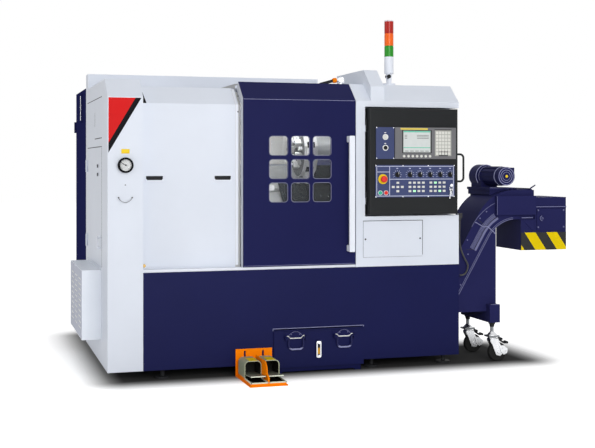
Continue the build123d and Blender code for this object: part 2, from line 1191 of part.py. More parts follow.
# The flat screen in its opening
with BuildPart() as display_screen:
    block(
        display_face.offset(-screen_recess),
        screen_left,
        screen_right,
        screen_bottom,
        screen_top,
        -screen_depth,
    )
save(display_screen, "display_screen")

# The operator panel and the power panel, with the rings around their buttons
panel_face = console_face.offset(panel_thickness)
power_levels = [display_bottom + share * display_height for share in power_level_shares]
power_middle = power_left + power_width / 2
with BuildPart() as operator_panel:
    block(
        console_face,
        panel_left,
        panel_left + panel_width,
        panel_bottom,
        panel_bottom + panel_height,
        panel_thickness,
    )
    block(
        console_face,
        power_left,
        power_left + power_width,
        display_bottom,
        display_bottom + display_height,
        panel_thickness,
    )
    for button_level in power_levels:
        round_bar(
            panel_face, power_middle, button_level, power_radius + power_ring, power_ring_height
        )
        round_bar(
            panel_face.offset(power_ring_height),
            power_middle,
            button_level,
            power_radius,
            -power_ring_height - panel_thickness,
            mode=Mode.SUBTRACT,
        )
    round_bar(panel_face, estop_left, estop_level, estop_ring_radius, estop_ring_height)
    round_bar(
        panel_face.offset(estop_ring_height),
        estop_left,
        estop_level,
        estop_stem_radius + seat_gap,
        -estop_ring_height - panel_thickness,
        mode=Mode.SUBTRACT,
    )
    for button_left in (cycle_left, hold_left):
        round_bar(
            panel_face, button_left, cycle_level, cycle_radius, -panel_thickness, mode=Mode.SUBTRACT
        )
    for knob_left in knob_lefts:
        round_bar(
            panel_face,
            knob_left,
            knob_level,
            knob_shaft_radius + hinge_bore_gap,
            -panel_thickness,
            mode=Mode.SUBTRACT,
        )
save(operator_panel, "operator_panel")

# Keys of the keypad, the soft keys under the screen and the keys of the operator panel
keypad_pitch_x = keypad_width / keypad_columns
keypad_pitch_z = keypad_height / keypad_rows
with BuildPart() as panel_keys:
    with BuildSketch(display_face.offset(-keypad_recess)):
        with Locations((keypad_left + keypad_width / 2, keypad_bottom + keypad_height / 2)):
            with GridLocations(keypad_pitch_x, keypad_pitch_z, keypad_columns, keypad_rows):
                Rectangle(keypad_pitch_x - key_gap, keypad_pitch_z - key_gap)
    extrude(amount=key_height)
    with BuildSketch(display_face):
        with Locations(
            *[(soft_key_left + n * soft_key_pitch, soft_key_level) for n in range(soft_key_count)]
        ):
            Circle(soft_key_radius)
    extrude(amount=key_height)
    key_rows_middle = key_row_low + (key_rows - 1) * key_row_pitch / 2
    with BuildSketch(panel_face):
        for block_left in key_block_lefts:
            block_middle = block_left + (key_block_columns - 1) * key_block_pitch / 2
            with Locations((block_middle, key_rows_middle)):
                with GridLocations(
                    key_block_pitch, key_row_pitch, key_block_columns, key_rows
                ):
                    Rectangle(console_key_width, console_key_height)
        with Locations((cross_left, key_rows_middle)):
            with GridLocations(key_block_pitch, key_row_pitch, 1, key_rows):
                Rectangle(console_key_width, console_key_height)
            with GridLocations(2 * key_block_pitch, key_row_pitch, 2, 1):
                Rectangle(console_key_width, console_key_height)
    extrude(amount=key_height)
save(panel_keys, "panel_keys")


# Push buttons: each sits in its ring with a small gap all round and sinks into the console
def push_button(name, button_left, button_level, radius, seat, height):
    with BuildPart() as button:
        round_bar(seat, button_left, button_level, radius - seat_gap, height)
        rim = button.faces().sort_by(Axis.Y)[0].edges()
        fillet(rim, button_travel / 3)
    save(button, name)


power_seat = panel_face.offset(power_ring_height + button_travel - power_button_height)
for button_name, button_level in zip(("power_on_button", "power_off_button"), power_levels):
    push_button(
        button_name, power_middle, button_level, power_radius, power_seat, power_button_height
    )
for button_name, button_left in (("cycle_start_button", cycle_left), ("feed_hold_button", hold_left)):
    push_button(
        button_name, button_left, cycle_level, cycle_radius, console_face, cycle_height
    )

# The emergency stop: a mushroom head on a stem through its ring
with BuildPart() as estop_button:
    round_bar(console_face, estop_left, estop_level, estop_stem_radius, estop_height)
    round_bar(
        console_face.offset(estop_height - estop_head_height),
        estop_left,
        estop_level,
        estop_head_radius,
        estop_head_height,
    )
    crown = estop_button.faces().sort_by(Axis.Y)[0].edges()
    fillet(crown, estop_head_height / 2)
save(estop_button, "estop_button")

# Six rotary selectors: a round skirt with a raised grip and a shaft into the panel
for knob_number, knob_left in enumerate(knob_lefts, start=1):
    with BuildPart() as selector_knob:
        round_bar(
            panel_face.offset(seat_gap), knob_left, knob_level, knob_radius, knob_skirt
        )
        block(
            panel_face.offset(seat_gap),
            knob_left - knob_grip_width / 2,
            knob_left + knob_grip_width / 2,
            knob_level - knob_radius,
            knob_level + knob_radius,
            knob_height,
        )
        round_bar(
            panel_face.offset(seat_gap),
            knob_left,
            knob_level,
            knob_shaft_radius,
            -panel_thickness - seat_gap,
        )
    save(selector_knob, f"selector_knob_{knob_number}")

# The pressure gauge: case with a rim, sunk dial and needle
with BuildPart() as pressure_gauge:
    round_bar(front, gauge_left, gauge_level, gauge_radius, gauge_depth)
    round_bar(
        front.offset(gauge_depth),
        gauge_left,
        gauge_level,
        gauge_radius - gauge_rim,
        -gauge_dial_recess,
        mode=Mode.SUBTRACT,
    )
    with BuildSketch(front.offset(gauge_depth - gauge_dial_recess)):
        with Locations((gauge_left, gauge_level)):
            Circle(gauge_rim)
            Rectangle(
                gauge_needle_width, gauge_needle_length, rotation=gauge_needle_angle,
                align=(Align.CENTER, Align.MIN),
            )
    extrude(amount=gauge_needle_width)
save(pressure_gauge, "pressure_gauge")

# The signal tower: foot, pole and body, then three lens modules
with BuildPart() as signal_base:
    foot_plane = floor.offset(top_height)
    body_plane = foot_plane.offset(tower_foot_height + tower_pole_height)
    round_bar(foot_plane, tower_left, tower_back, tower_foot_radius, tower_foot_height)
    round_bar(
        foot_plane, tower_left, tower_back, tower_pole_radius, tower_foot_height + tower_pole_height
    )
    round_bar(body_plane, tower_left, tower_back, tower_radius, tower_body_height)
save(signal_base, "signal_base")
lens_plane = body_plane.offset(tower_body_height)
for lens_name, lens_height in zip(("signal_green", "signal_amber", "signal_red"), lens_heights):
    with BuildPart() as signal_lens:
        round_bar(lens_plane, tower_left, tower_back, lens_gap_radius, lens_height)
        round_bar(lens_plane, tower_left, tower_back, tower_radius, lens_height - lens_rim)
    save(signal_lens, lens_name)
    lens_plane = lens_plane.offset(lens_height)

# The slant bed: along is measured up its face from the foot, lift square to the face
slant_share = math.sqrt(1 / 2)
slant_reach = slant_length * slant_share
bed_back = base_depth - sheet - bed_back_gap
slant = Plane(
    origin=corner + Vector(0, bed_front, bed_foot_top),
    x_dir=(0, 1, 1),
    z_dir=(1, 0, 0),
)
with BuildPart() as slant_bed:
    bed_section = [
        (bed_front, base_top),
        (bed_front, bed_foot_top),
        (bed_front + slant_reach, bed_foot_top + slant_reach),
        (bed_back, bed_foot_top + slant_reach),
        (bed_back, base_top),
    ]
    profile(side.offset(bed_left), bed_section, bed_right - bed_left)
    for rail_along in (rail_low, rail_high):
        block(
            slant.offset(bed_left),
            rail_along - rail_width / 2,
            rail_along + rail_width / 2,
            0,
            rail_height,
            bed_right - bed_left,
        )
save(slant_bed, "slant_bed")

# The headstock casting with the spindle bore and its front boss
with BuildPart() as headstock:
    headstock_section = [
        (headstock_front, base_top),
        (headstock_front, headstock_top - headstock_shoulder),
        (headstock_front + headstock_shoulder / 2, headstock_top),
        (headstock_back - headstock_shoulder, headstock_top),
        (headstock_back, headstock_top - 2 * headstock_shoulder),
        (headstock_back, base_top),
    ]
    profile(side.offset(headstock_left), headstock_section, headstock_right - headstock_left)
    round_bar(
        side.offset(headstock_right),
        spindle_back,
        spindle_level,
        headstock_boss_radius,
        headstock_boss_length,
    )
    round_bar(
        side.offset(headstock_left - overrun),
        spindle_back,
        spindle_level,
        shaft_radius + shaft_gap,
        headstock_right - headstock_left + headstock_boss_length + 2 * overrun,
        mode=Mode.SUBTRACT,
    )
save(headstock, "headstock")

# The spindle with its clamping cylinder behind, and the three-jaw chuck in front
with BuildPart() as spindle_chuck:
    round_bar(
        side.offset(shaft_left), spindle_back, spindle_level, shaft_radius, chuck_left - shaft_left
    )
    round_bar(
        side.offset(shaft_left), spindle_back, spindle_level, cylinder_radius, -cylinder_length
    )
    round_bar(side.offset(chuck_left), spindle_back, spindle_level, chuck_radius, chuck_length)
    chuck_rims = spindle_chuck.edges().filter_by(GeomType.CIRCLE)
    chuck_rims = chuck_rims.filter_by(lambda rim: rim.radius == chuck_radius)
    chamfer(chuck_rims, chuck_edge)
    chuck_face = side.offset(chuck_left + chuck_length)
    with BuildSketch(chuck_face):
        with Locations((spindle_back, spindle_level)):
            with PolarLocations((jaw_inner + jaw_outer) / 2, jaw_count, start_angle=jaw_start_angle):
                Rectangle(jaw_outer - jaw_inner, jaw_width)
    extrude(amount=jaw_length / 2)
    with BuildSketch(chuck_face):
        with Locations((spindle_back, spindle_level)):
            with PolarLocations(jaw_outer - jaw_step / 2, jaw_count, start_angle=jaw_start_angle):
                Rectangle(jaw_step, jaw_width)
    extrude(amount=jaw_length)
    round_bar(
        side.offset(shaft_left - cylinder_length - overrun),
        spindle_back,
        spindle_level,
        bar_bore_radius,
        chuck_left + chuck_length + cylinder_length + 2 * overrun,
        mode=Mode.SUBTRACT,
    )
save(spindle_chuck, "spindle_chuck")

# The carriage: a saddle plate on four bearing blocks that wrap the bed's rails
carriage_right = carriage_left + carriage_width
cross_rail_lefts = (carriage_left + cross_rail_inset, carriage_right - cross_rail_inset)
carriage_block_lefts = (carriage_left, carriage_right - carriage_block_length)
with BuildPart() as carriage:
    block(
        slant.offset(carriage_left),
        carriage_low,
        carriage_high,
        carriage_plate_bottom,
        carriage_plate_top,
        carriage_width,
    )
    for rail_along in (rail_low, rail_high):
        for block_left in carriage_block_lefts:
            block(
                slant.offset(block_left),
                rail_along - carriage_block / 2,
                rail_along + carriage_block / 2,
                rail_height / 3,
                carriage_plate_bottom,
                carriage_block_length,
            )
            block(
                slant.offset(block_left - overrun),
                rail_along - rail_width / 2 - seat_gap,
                rail_along + rail_width / 2 + seat_gap,
                0,
                rail_height + seat_gap,
                carriage_block_length + 2 * overrun,
                mode=Mode.SUBTRACT,
            )
    for rail_left in cross_rail_lefts:
        block(
            slant.offset(rail_left - cross_rail_width / 2),
            carriage_low,
            carriage_high,
            carriage_plate_top,
            carriage_plate_top + cross_rail_height,
            cross_rail_width,
        )
save(carriage, "carriage")

# The cross slide with the turret's drive housing
cross_bottom = carriage_plate_top + cross_rail_height / 3
with BuildPart() as cross_slide:
    block(
        slant.offset(carriage_left),
        cross_low,
        cross_low + cross_length,
        cross_bottom,
        cross_top,
        carriage_width,
    )
    for rail_left in cross_rail_lefts:
        block(
            slant.offset(rail_left - cross_rail_width / 2 - seat_gap),
            cross_low - overrun,
            cross_low + cross_length + overrun,
            0,
            carriage_plate_top + cross_rail_height + seat_gap,
            cross_rail_width + 2 * seat_gap,
            mode=Mode.SUBTRACT,
        )
    block(
        slant.offset(carriage_left),
        turret_along - turret_body_radius,
        turret_along + turret_body_radius,
        cross_top,
        turret_axis_height,
        turret_body_length,
    )
    round_bar(
        slant.offset(carriage_left),
        turret_along,
        turret_axis_height,
        turret_body_radius,
        turret_body_length,
    )
    round_bar(
        slant.offset(carriage_left),
        turret_along,
        turret_axis_height,
        turret_hub_radius,
        -turret_gap + seat_gap,
    )
save(cross_slide, "cross_slide")

# The turret disc: a twelve-sided plate with a tool holder and tool on each flat
disc_left = carriage_left - turret_gap - disc_thickness
disc_apothem = disc_radius * math.cos(math.pi / disc_sides)
with BuildPart() as turret_disc:
    with BuildSketch(slant.offset(disc_left)):
        with Locations((turret_along, turret_axis_height)):
            RegularPolygon(disc_radius, disc_sides)
    extrude(amount=disc_thickness)
    round_bar(
        slant.offset(disc_left),
        turret_along,
        turret_axis_height,
        turret_hub_radius,
        disc_hub_recess,
        mode=Mode.SUBTRACT,
    )
    flat_turn = 180 / disc_sides
    with BuildSketch(slant.offset(disc_left + disc_thickness / 2 - holder_width / 2)):
        with Locations((turret_along, turret_axis_height)):
            with PolarLocations(
                disc_apothem + holder_height / 2, disc_sides // 2, start_angle=flat_turn
            ):
                Rectangle(holder_height, holder_width)
    extrude(amount=holder_width)
    with BuildSketch(slant.offset(disc_left + disc_thickness / 2 - tool_width)):
        with Locations((turret_along, turret_axis_height)):
            with PolarLocations(
                disc_apothem + holder_height + tool_length / 2,
                disc_sides // 2,
                start_angle=flat_turn,
            ):
                Rectangle(tool_length, tool_width)
    extrude(amount=tool_width)
save(turret_disc, "turret_disc")

# The coolant tank: an open box on skids, with a proud face plate, handle ears and a level sight
tank_right = tank_left + tank_width
with BuildPart() as coolant_tank:
    block(
        floor.offset(tank_bottom), bay_left, bay_right, -seat_gap, tank_depth, tank_top - tank_bottom
    )
    block(
        floor.offset(tank_bottom + tank_wall),
        bay_left + tank_wall,
        bay_right - tank_wall,
        tank_wall,
        tank_depth - tank_wall,
        tank_top - tank_bottom,
        mode=Mode.SUBTRACT,
    )
    face_plane = front.offset(seat_gap)
    block(face_plane, tank_left, tank_right, tank_bottom, tank_face_top, tank_face)
    block(
        face_plane,
        tank_left,
        tank_right,
        tank_face_top - tank_wall,
        tank_face_top,
        tank_lip + tank_face,
    )
    for skid_left in (bay_left, bay_right - tank_skid_width):
        for skid_front in (tank_wall, tank_depth - tank_skid_length):
            block(
                floor,
                skid_left,
                skid_left + tank_skid_width,
                skid_front,
                skid_front + tank_skid_length,
                tank_bottom,
            )
    tank_face_front = face_plane.offset(tank_face)
    for bail_left in bail_lefts:
        block(
            tank_face_front,
            bail_left - bail_plate_margin,
            bail_left + bail_width + bail_plate_margin,
            bail_pivot_level - bail_ear_size / 2,
            bail_pivot_level + 2 * bail_plate_margin,
            bail_plate,
        )
        for ear_left in (bail_left - bail_ear_width, bail_left + bail_width):
            block(
                tank_face_front,
                ear_left,
                ear_left + bail_ear_width,
                bail_pivot_level - bail_ear_size / 2,
                bail_pivot_level + bail_ear_size / 2,
                bail_standoff + bail_ear_size / 2,
            )
            round_bar(
                side.offset(ear_left - overrun),
                -seat_gap - tank_face - bail_standoff,
                bail_pivot_level,
                bail_rod_radius + hinge_bore_gap,
                bail_ear_width + 2 * overrun,
                mode=Mode.SUBTRACT,
            )
    rounded_block(
        tank_face_front,
        sight_left - sight_width / 2,
        sight_left + sight_width / 2,
        sight_bottom,
        sight_top,
        sight_proud,
        sight_width / 3,
    )
save(coolant_tank, "coolant_tank")

# Two bail handles that hang from the ears of the tank
bail_plane = tank_face_front.offset(bail_standoff)
bail_neck = 2 * bail_rod_radius - seat_gap
for bail_name, bail_left in zip(("tank_handle_left", "tank_handle_right"), bail_lefts):
    bail_inner = bail_left + 2 * bail_rod_radius
    bail_outer = bail_left + bail_width - 2 * bail_rod_radius
    with BuildPart() as tank_handle:
        with BuildLine(bail_plane) as bail_path:
            FilletPolyline(
                (bail_left - bail_ear_width, bail_pivot_level),
                (bail_inner, bail_pivot_level),
                (bail_inner, bail_pivot_level - bail_drop),
                (bail_outer, bail_pivot_level - bail_drop),
                (bail_outer, bail_pivot_level),
                (bail_left + bail_width + bail_ear_width, bail_pivot_level),
                radius=(bail_neck, bail_bend, bail_bend, bail_neck),
            )
        with BuildSketch(Plane(bail_path.line @ 0, z_dir=bail_path.line % 0)):
            Circle(bail_rod_radius)
        sweep(path=bail_path.line)
    save(tank_handle, bail_name)

# The foot pedal's stand: back plate with two slots, floor plate, fin and two arched hoods with trays
pedal_right_edge = pedal_left + pedal_width
pedal_middle = (pedal_left + pedal_right_edge) / 2
hood_lefts = (pedal_left + hood_margin, pedal_middle + hood_divider / 2)
hood_width = pedal_width / 2 - hood_margin - hood_divider / 2
hood_front = hood_setback + hood_depth
with BuildPart() as pedal_stand:
    block(front, pedal_left, pedal_right_edge, 0, pedal_plate_height, pedal_sheet)
    with BuildSketch(front.offset(overrun)):
        with Locations((pedal_middle, pedal_slot_level)):
            with GridLocations(pedal_width / 2, 0, 2, 1):
                SlotOverall(pedal_slot_length, pedal_slot_width, rotation=90)
    extrude(amount=-2 * overrun, mode=Mode.SUBTRACT)
    block(floor, pedal_left, pedal_right_edge, -pedal_reach, 0, pedal_sheet)
    fin_outline = [
        (-pedal_sheet, 0),
        (-pedal_sheet, fin_low),
        (-fin_rise, fin_height),
        (-fin_crest, fin_height),
        (-tray_front, fin_low),
        (-tray_front, 0),
    ]
    profile(side.offset(pedal_middle - hood_divider / 2), fin_outline, hood_divider)
    for hood_left in hood_lefts:
        hood_right = hood_left + hood_width
        with BuildSketch(front.offset(hood_setback)):
            rectangle_between(hood_left, hood_right, 0, hood_height - hood_corner)
            with Locations(((hood_left + hood_right) / 2, hood_height)):
                RectangleRounded(
                    hood_width, 3 * hood_corner, hood_corner, align=(Align.CENTER, Align.MAX)
                )
        extrude(amount=hood_depth)
        with BuildSketch(front.offset(hood_setback + hood_wall)):
            rectangle_between(
                hood_left + hood_wall, hood_right - hood_wall, pedal_sheet, hood_height - hood_corner
            )
            with Locations(((hood_left + hood_right) / 2, hood_height - hood_wall)):
                RectangleRounded(
                    hood_width - 2 * hood_wall,
                    3 * hood_corner - 2 * hood_wall,
                    hood_corner - hood_wall,
                    align=(Align.CENTER, Align.MAX),
                )
        extrude(amount=hood_depth + overrun, mode=Mode.SUBTRACT)
        block(floor, hood_left, hood_right, -tray_front, -hood_front, tray_height)
        block(
            floor.offset(pedal_sheet),
            hood_left + hood_wall,
            hood_right - hood_wall,
            hood_wall - tray_front,
            overrun - hood_front,
            tray_height,
            mode=Mode.SUBTRACT,
        )
save(pedal_stand, "pedal_stand")

# The two treads, each on a cross pin near the back of its hood
tread_back = hood_setback + hood_wall + tread_gap
tread_low = tread_pin_level - tread_thickness / 2
tread_high = tread_pin_level + tread_thickness / 2
for tread_name, hood_left in zip(("pedal_left", "pedal_right"), hood_lefts):
    with BuildPart() as tread:
        tread_section = [
            (-tread_back, tread_low),
            (-tread_back, tread_high),
            (-tread_front, tread_high + tread_tilt_height),
            (-tread_front, tread_low + tread_tilt_height),
        ]
        profile(
            side.offset(hood_left + hood_wall + tread_gap),
            tread_section,
            hood_width - 2 * hood_wall - 2 * tread_gap,
        )
        round_bar(
            side.offset(hood_left + hood_wall + seat_gap),
            -tread_back - 2 * tread_pin_radius,
            tread_pin_level,
            tread_pin_radius,
            hood_width - 2 * hood_wall - 2 * seat_gap,
        )
    save(tread, tread_name)

# The chip conveyor's body: open trough in the base, swan neck and leg, with ribs and guard box
incline = math.radians(incline_angle)
conveyor_width = conveyor_back - conveyor_front
outer_foot = incline_foot - incline_thickness / math.sin(incline)
outer_foot += (trough_top - conveyor_bottom) / math.tan(incline)
outer_corner = outer_foot + (neck_top - trough_top) / math.tan(incline)
inner_corner = incline_foot + (neck_bottom - conveyor_bottom) / math.tan(incline)
bend_left = inner_corner + inner_bend_radius * math.tan(incline / 2)
bend_sweep = math.degrees(math.asin((bend_left - leg_right) / inner_bend_radius))
with BuildPart() as conveyor_body:
    with BuildSketch(front.offset(-conveyor_back)):
        with BuildLine():
            neck_inner = CenterArc(
                (bend_left, neck_bottom - inner_bend_radius), inner_bend_radius, 90, bend_sweep
            )
            Line(neck_inner @ 0, (neck_end, neck_bottom))
            Line((neck_end, neck_bottom), (neck_end, neck_top))
            neck_outer = FilletPolyline(
                (neck_end, neck_top),
                (outer_corner, neck_top),
                (outer_foot, trough_top),
                radius=outer_bend_radius,
            )
            Polyline(
                neck_outer @ 1,
                (conveyor_start, trough_top),
                (conveyor_start, conveyor_bottom),
                (leg_right, conveyor_bottom),
                neck_inner @ 1,
            )
        make_face()
    extrude(amount=conveyor_width)
    block(
        floor.offset(conveyor_bottom + trough_wall),
        conveyor_start + trough_wall,
        outer_foot - trough_wall,
        conveyor_front + trough_wall,
        conveyor_back - trough_wall,
        trough_top - conveyor_bottom,
        mode=Mode.SUBTRACT,
    )
    block(
        front.offset(-conveyor_front), guard_left, neck_end, guard_bottom, guard_top, guard_proud
    )
    block(
        floor.offset(beam_bottom),
        beam_left,
        beam_right,
        caster_fronts[0] - beam_margin,
        caster_fronts[1] + beam_margin,
        beam_top - beam_bottom,
    )
save(conveyor_body, "conveyor_body")

# The discharge head: a box open below, with hatch, rail and the head shaft's boss
head_front = conveyor_front - head_margin
head_back = conveyor_back + head_margin
with BuildPart() as conveyor_head:
    head_outline = [
        (head_left, head_bottom),
        (head_right, head_bottom),
        (head_right, head_top),
        (neck_end, head_top),
        (neck_end, neck_bottom),
        (head_left, neck_bottom),
    ]
    profile(front.offset(-head_back), head_outline, head_back - head_front)
    head_hollow = [
        (head_left + head_wall, head_bottom - overrun),
        (head_right - head_wall, head_bottom - overrun),
        (head_right - head_wall, head_top - head_wall),
        (neck_end + head_wall, head_top - head_wall),
        (neck_end + head_wall, neck_bottom - head_wall),
        (head_left + head_wall, neck_bottom - head_wall),
    ]
    profile(
        front.offset(head_wall - head_back),
        head_hollow,
        head_back - head_front - 2 * head_wall,
        mode=Mode.SUBTRACT,
    )
    head_face = front.offset(-head_front)
    block(head_face, hatch_left, hatch_right, hatch_bottom, hatch_top, hatch_proud)
    block(
        head_face,
        neck_end,
        head_right,
        head_rail_level - head_rail_height / 2,
        head_rail_level + head_rail_height / 2,
        hatch_proud,
    )
    round_bar(
        head_face, head_shaft_left, head_shaft_level, head_shaft_radius, 2 * hatch_proud
    )
save(conveyor_head, "conveyor_head")

# The gearmotor on top of the neck: finned motor, fan cover, gearbox, terminal box and foot
with BuildPart() as gearmotor:
    motor_back = motor_front + motor_length
    round_bar(front.offset(-motor_back), motor_left, motor_level, motor_radius, motor_length)
    round_bar(front.offset(-motor_front), motor_left, motor_level, fan_cover_radius, -fan_cover_length)
    round_bar(front.offset(-motor_front), motor_left, motor_level, fan_hub_radius, fan_hub_height)
    with BuildSketch(front.offset(-motor_back)):
        with Locations((motor_left, motor_level)):
            with PolarLocations(motor_radius, motor_fin_count):
                Rectangle(2 * motor_fin_height, motor_fin_width)
    extrude(amount=motor_length - fan_cover_length)
    round_bar(
        front.offset(-motor_back), motor_left, motor_level, gearbox_neck_radius, -gearbox_neck_length
    )
    round_bar(
        front.offset(-motor_back - gearbox_neck_length),
        motor_left,
        motor_level,
        gearbox_radius,
        -gearbox_length,
    )
    block(
        floor.offset(neck_top),
        motor_left - motor_foot_width / 2,
        motor_left + motor_foot_width / 2,
        motor_front + fan_cover_length,
        motor_back + gearbox_neck_length + gearbox_length,
        motor_foot_height,
    )
    block(
        floor.offset(neck_top),
        motor_left - motor_radius,
        motor_left + motor_radius,
        motor_back - gearbox_neck_length,
        motor_back + gearbox_neck_length + gearbox_length,
        motor_level - neck_top,
    )
    block(
        floor.offset(motor_level - motor_box_drop),
        motor_left,
        motor_left + motor_radius + motor_box_reach,
        motor_front + fan_cover_length,
        motor_front + fan_cover_length + motor_box_length,
        motor_box_height,
    )
save(gearmotor, "gearmotor")

# Two swivel casters under the conveyor's leg: plate and stem, fork, wheel
with BuildPart() as caster_mounts:
    for caster_front in caster_fronts:
        round_bar(
            floor.offset(caster_plate_level),
            caster_left,
            caster_front,
            caster_stem_radius,
            beam_bottom - caster_plate_level,
        )
        block(
            floor.offset(caster_plate_level),
            caster_left - caster_plate_size / 2,
            caster_left + caster_plate_size / 2,
            caster_front - caster_plate_size / 2,
            caster_front + caster_plate_size / 2,
            caster_plate,
        )
        round_bar(
            floor.offset(fork_crown_level), caster_left, caster_front, caster_pin_radius,
            caster_plate_level - fork_crown_level,
        )
        with BuildSketch(floor.offset(caster_plate_level + caster_plate)):
            with Locations((caster_left, caster_front)):
                RegularPolygon(caster_nut_radius, 6)
        extrude(amount=caster_nut_height)
save(caster_mounts, "caster_mounts")

fork_half = caster_wheel_width / 2 + fork_gap
axle_left = caster_left + caster_offset
for caster_name, caster_front in zip(("front", "rear"), caster_fronts):
    with BuildPart() as caster_fork:
        block(
            floor.offset(fork_crown_level),
            caster_left - fork_width / 2,
            axle_left,
            caster_front - fork_half - fork_wall,
            caster_front + fork_half + fork_wall,
            fork_crown,
        )
        round_bar(
            floor.offset(fork_crown_level),
            caster_left,
            caster_front,
            caster_pin_radius + caster_axle_gap,
            fork_crown,
            mode=Mode.SUBTRACT,
        )
        for cheek_front in (caster_front - fork_half - fork_wall, caster_front + fork_half):
            cheek = [
                (caster_left - fork_width / 2, fork_crown_level + fork_crown),
                (axle_left, fork_crown_level + fork_crown),
                (axle_left + fork_width / 3, caster_wheel_radius),
                (axle_left, caster_wheel_radius - fork_width / 3),
                (axle_left - fork_width / 3, caster_wheel_radius),
                (caster_left - fork_width / 2, fork_crown_level),
            ]
            profile(front.offset(-cheek_front - fork_wall), cheek, fork_wall)
        round_bar(
            front.offset(-caster_front - fork_half),
            axle_left,
            caster_wheel_radius,
            caster_axle_radius,
            2 * fork_half,
        )
    save(caster_fork, f"caster_fork_{caster_name}")
    with BuildPart() as caster_wheel:
        wheel_plane = front.offset(-caster_front - caster_wheel_width / 2)
        hub_plane = front.offset(-caster_front - fork_half + caster_hub_gap)
        round_bar(
            wheel_plane, axle_left, caster_wheel_radius, caster_wheel_radius, caster_wheel_width
        )
        fillet(caster_wheel.edges().filter_by(GeomType.CIRCLE), caster_axle_radius)
        round_bar(
            hub_plane,
            axle_left,
            caster_wheel_radius,
            caster_hub_radius,
            2 * fork_half - 2 * caster_hub_gap,
        )
        round_bar(
            hub_plane.offset(-overrun),
            axle_left,
            caster_wheel_radius,
            caster_axle_radius + caster_axle_gap,
            2 * fork_half + 2 * overrun,
            mode=Mode.SUBTRACT,
        )
    save(caster_wheel, f"caster_wheel_{caster_name}")

# The supply conduit: straight runs joined by arcs as large as the runs allow
conduit_turns = []
for before, at, after in zip(conduit_route, conduit_route[1:], conduit_route[2:]):
    run_in = Vector(*at) - Vector(*before)
    run_out = Vector(*after) - Vector(*at)
    half_turn = math.radians(run_in.get_angle(run_out)) / 2
    shorter_run = min(run_in.length, run_out.length)
    conduit_turns.append(conduit_run_share * shorter_run / math.tan(half_turn))
with BuildPart() as supply_conduit:
    with BuildLine(front.offset(-conduit_depth)) as conduit_path:
        FilletPolyline(*conduit_route, radius=conduit_turns)
    with BuildSketch(Plane(conduit_path.line @ 0, z_dir=conduit_path.line % 0)):
        Circle(conduit_radius)
    sweep(path=conduit_path.line)
save(supply_conduit, "supply_conduit")
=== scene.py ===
# Looks of a CNC turning lathe with its chip conveyor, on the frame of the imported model.
import math

import bmesh
import bpy
from mathutils import Matrix, Vector


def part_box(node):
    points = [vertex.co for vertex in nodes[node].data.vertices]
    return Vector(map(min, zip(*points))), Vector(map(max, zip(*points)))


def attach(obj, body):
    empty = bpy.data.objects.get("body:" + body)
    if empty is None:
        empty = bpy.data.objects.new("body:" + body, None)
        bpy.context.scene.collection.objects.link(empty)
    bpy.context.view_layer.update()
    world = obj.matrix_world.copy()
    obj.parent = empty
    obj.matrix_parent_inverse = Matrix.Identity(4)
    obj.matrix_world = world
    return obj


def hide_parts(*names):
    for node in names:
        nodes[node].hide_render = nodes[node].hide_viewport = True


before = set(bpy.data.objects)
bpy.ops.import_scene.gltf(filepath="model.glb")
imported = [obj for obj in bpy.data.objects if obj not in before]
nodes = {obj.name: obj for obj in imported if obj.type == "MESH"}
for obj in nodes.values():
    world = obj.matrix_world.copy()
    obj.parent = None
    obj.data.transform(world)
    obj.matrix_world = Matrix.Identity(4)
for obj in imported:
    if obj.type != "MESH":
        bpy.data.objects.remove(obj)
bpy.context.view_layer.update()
scene = bpy.context.scene

# Places are metres from the enclosure's front left corner on the floor: right, back and up
corner = Vector(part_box("left_column")[0])
corner.z = 0
LEFT, RIGHT, FRONT, BACK, UP = (-1, 0, 0), (1, 0, 0), (0, -1, 0), (0, 1, 0), (0, 0, 1)
# Thickness of a print
PRINT = 0.0004
# The enclosure's front leans back over this level, by so much run on so much rise
BREAK_LEVEL, LEAN_RUN, LEAN_RISE = 1.629, 0.12, 0.106


def at(x, y, z):
    return corner + Vector((x, y, z))


# Materials

def opened(material):
    tree = material.node_tree
    return tree, tree.nodes["Principled BSDF"]


def new_material(name):
    material = bpy.data.materials.new(name)
    material.use_nodes = True
    return material, *opened(material)


def feed(node, inputs):
    # Sockets are linked to the node's inputs, plain values are set on them
    for name, source in inputs.items():
        if isinstance(source, bpy.types.NodeSocket):
            node.id_data.links.new(source, node.inputs[name])
        else:
            node.inputs[name].default_value = source
    return node


def add_node(tree, kind, inputs, operation=None):
    node = tree.nodes.new(kind)
    if operation:
        node.operation = operation
    return feed(node, inputs)


def object_coordinates(tree):
    return tree.nodes.new("ShaderNodeTexCoord").outputs["Object"]


def noise(tree, vector, scale, detail=4.0):
    inputs = {"Vector": vector, "Scale": scale, "Detail": detail, "Roughness": 0.55}
    return add_node(tree, "ShaderNodeTexNoise", inputs).outputs["Fac"]


def wave(tree, scale):
    inputs = {"Vector": object_coordinates(tree), "Scale": scale}
    node = add_node(tree, "ShaderNodeTexWave", inputs)
    node.bands_direction = "Z"
    return node.outputs["Fac"]


def ramp(tree, factor, stops, stepped=False):
    node = add_node(tree, "ShaderNodeValToRGB", {"Fac": factor})
    band = node.color_ramp
    while len(band.elements) < len(stops):
        band.elements.new(0.5)
    for element, (place, colour) in zip(band.elements, stops):
        element.position = place
        element.color = (*colour, 1)
    if stepped:
        band.interpolation = "CONSTANT"
    return node.outputs["Color"]


def mapped(tree, value, limits):
    return add_node(tree, "ShaderNodeMapRange", {"Value": value, **limits}).outputs["Result"]


def larger(tree, first, second):
    return add_node(tree, "ShaderNodeMath", {0: first, 1: second}, "MAXIMUM").outputs["Value"]


def bump(tree, height, strength, distance):
    inputs = {"Height": height, "Strength": strength, "Distance": distance}
    return add_node(tree, "ShaderNodeBump", inputs).outputs["Normal"]


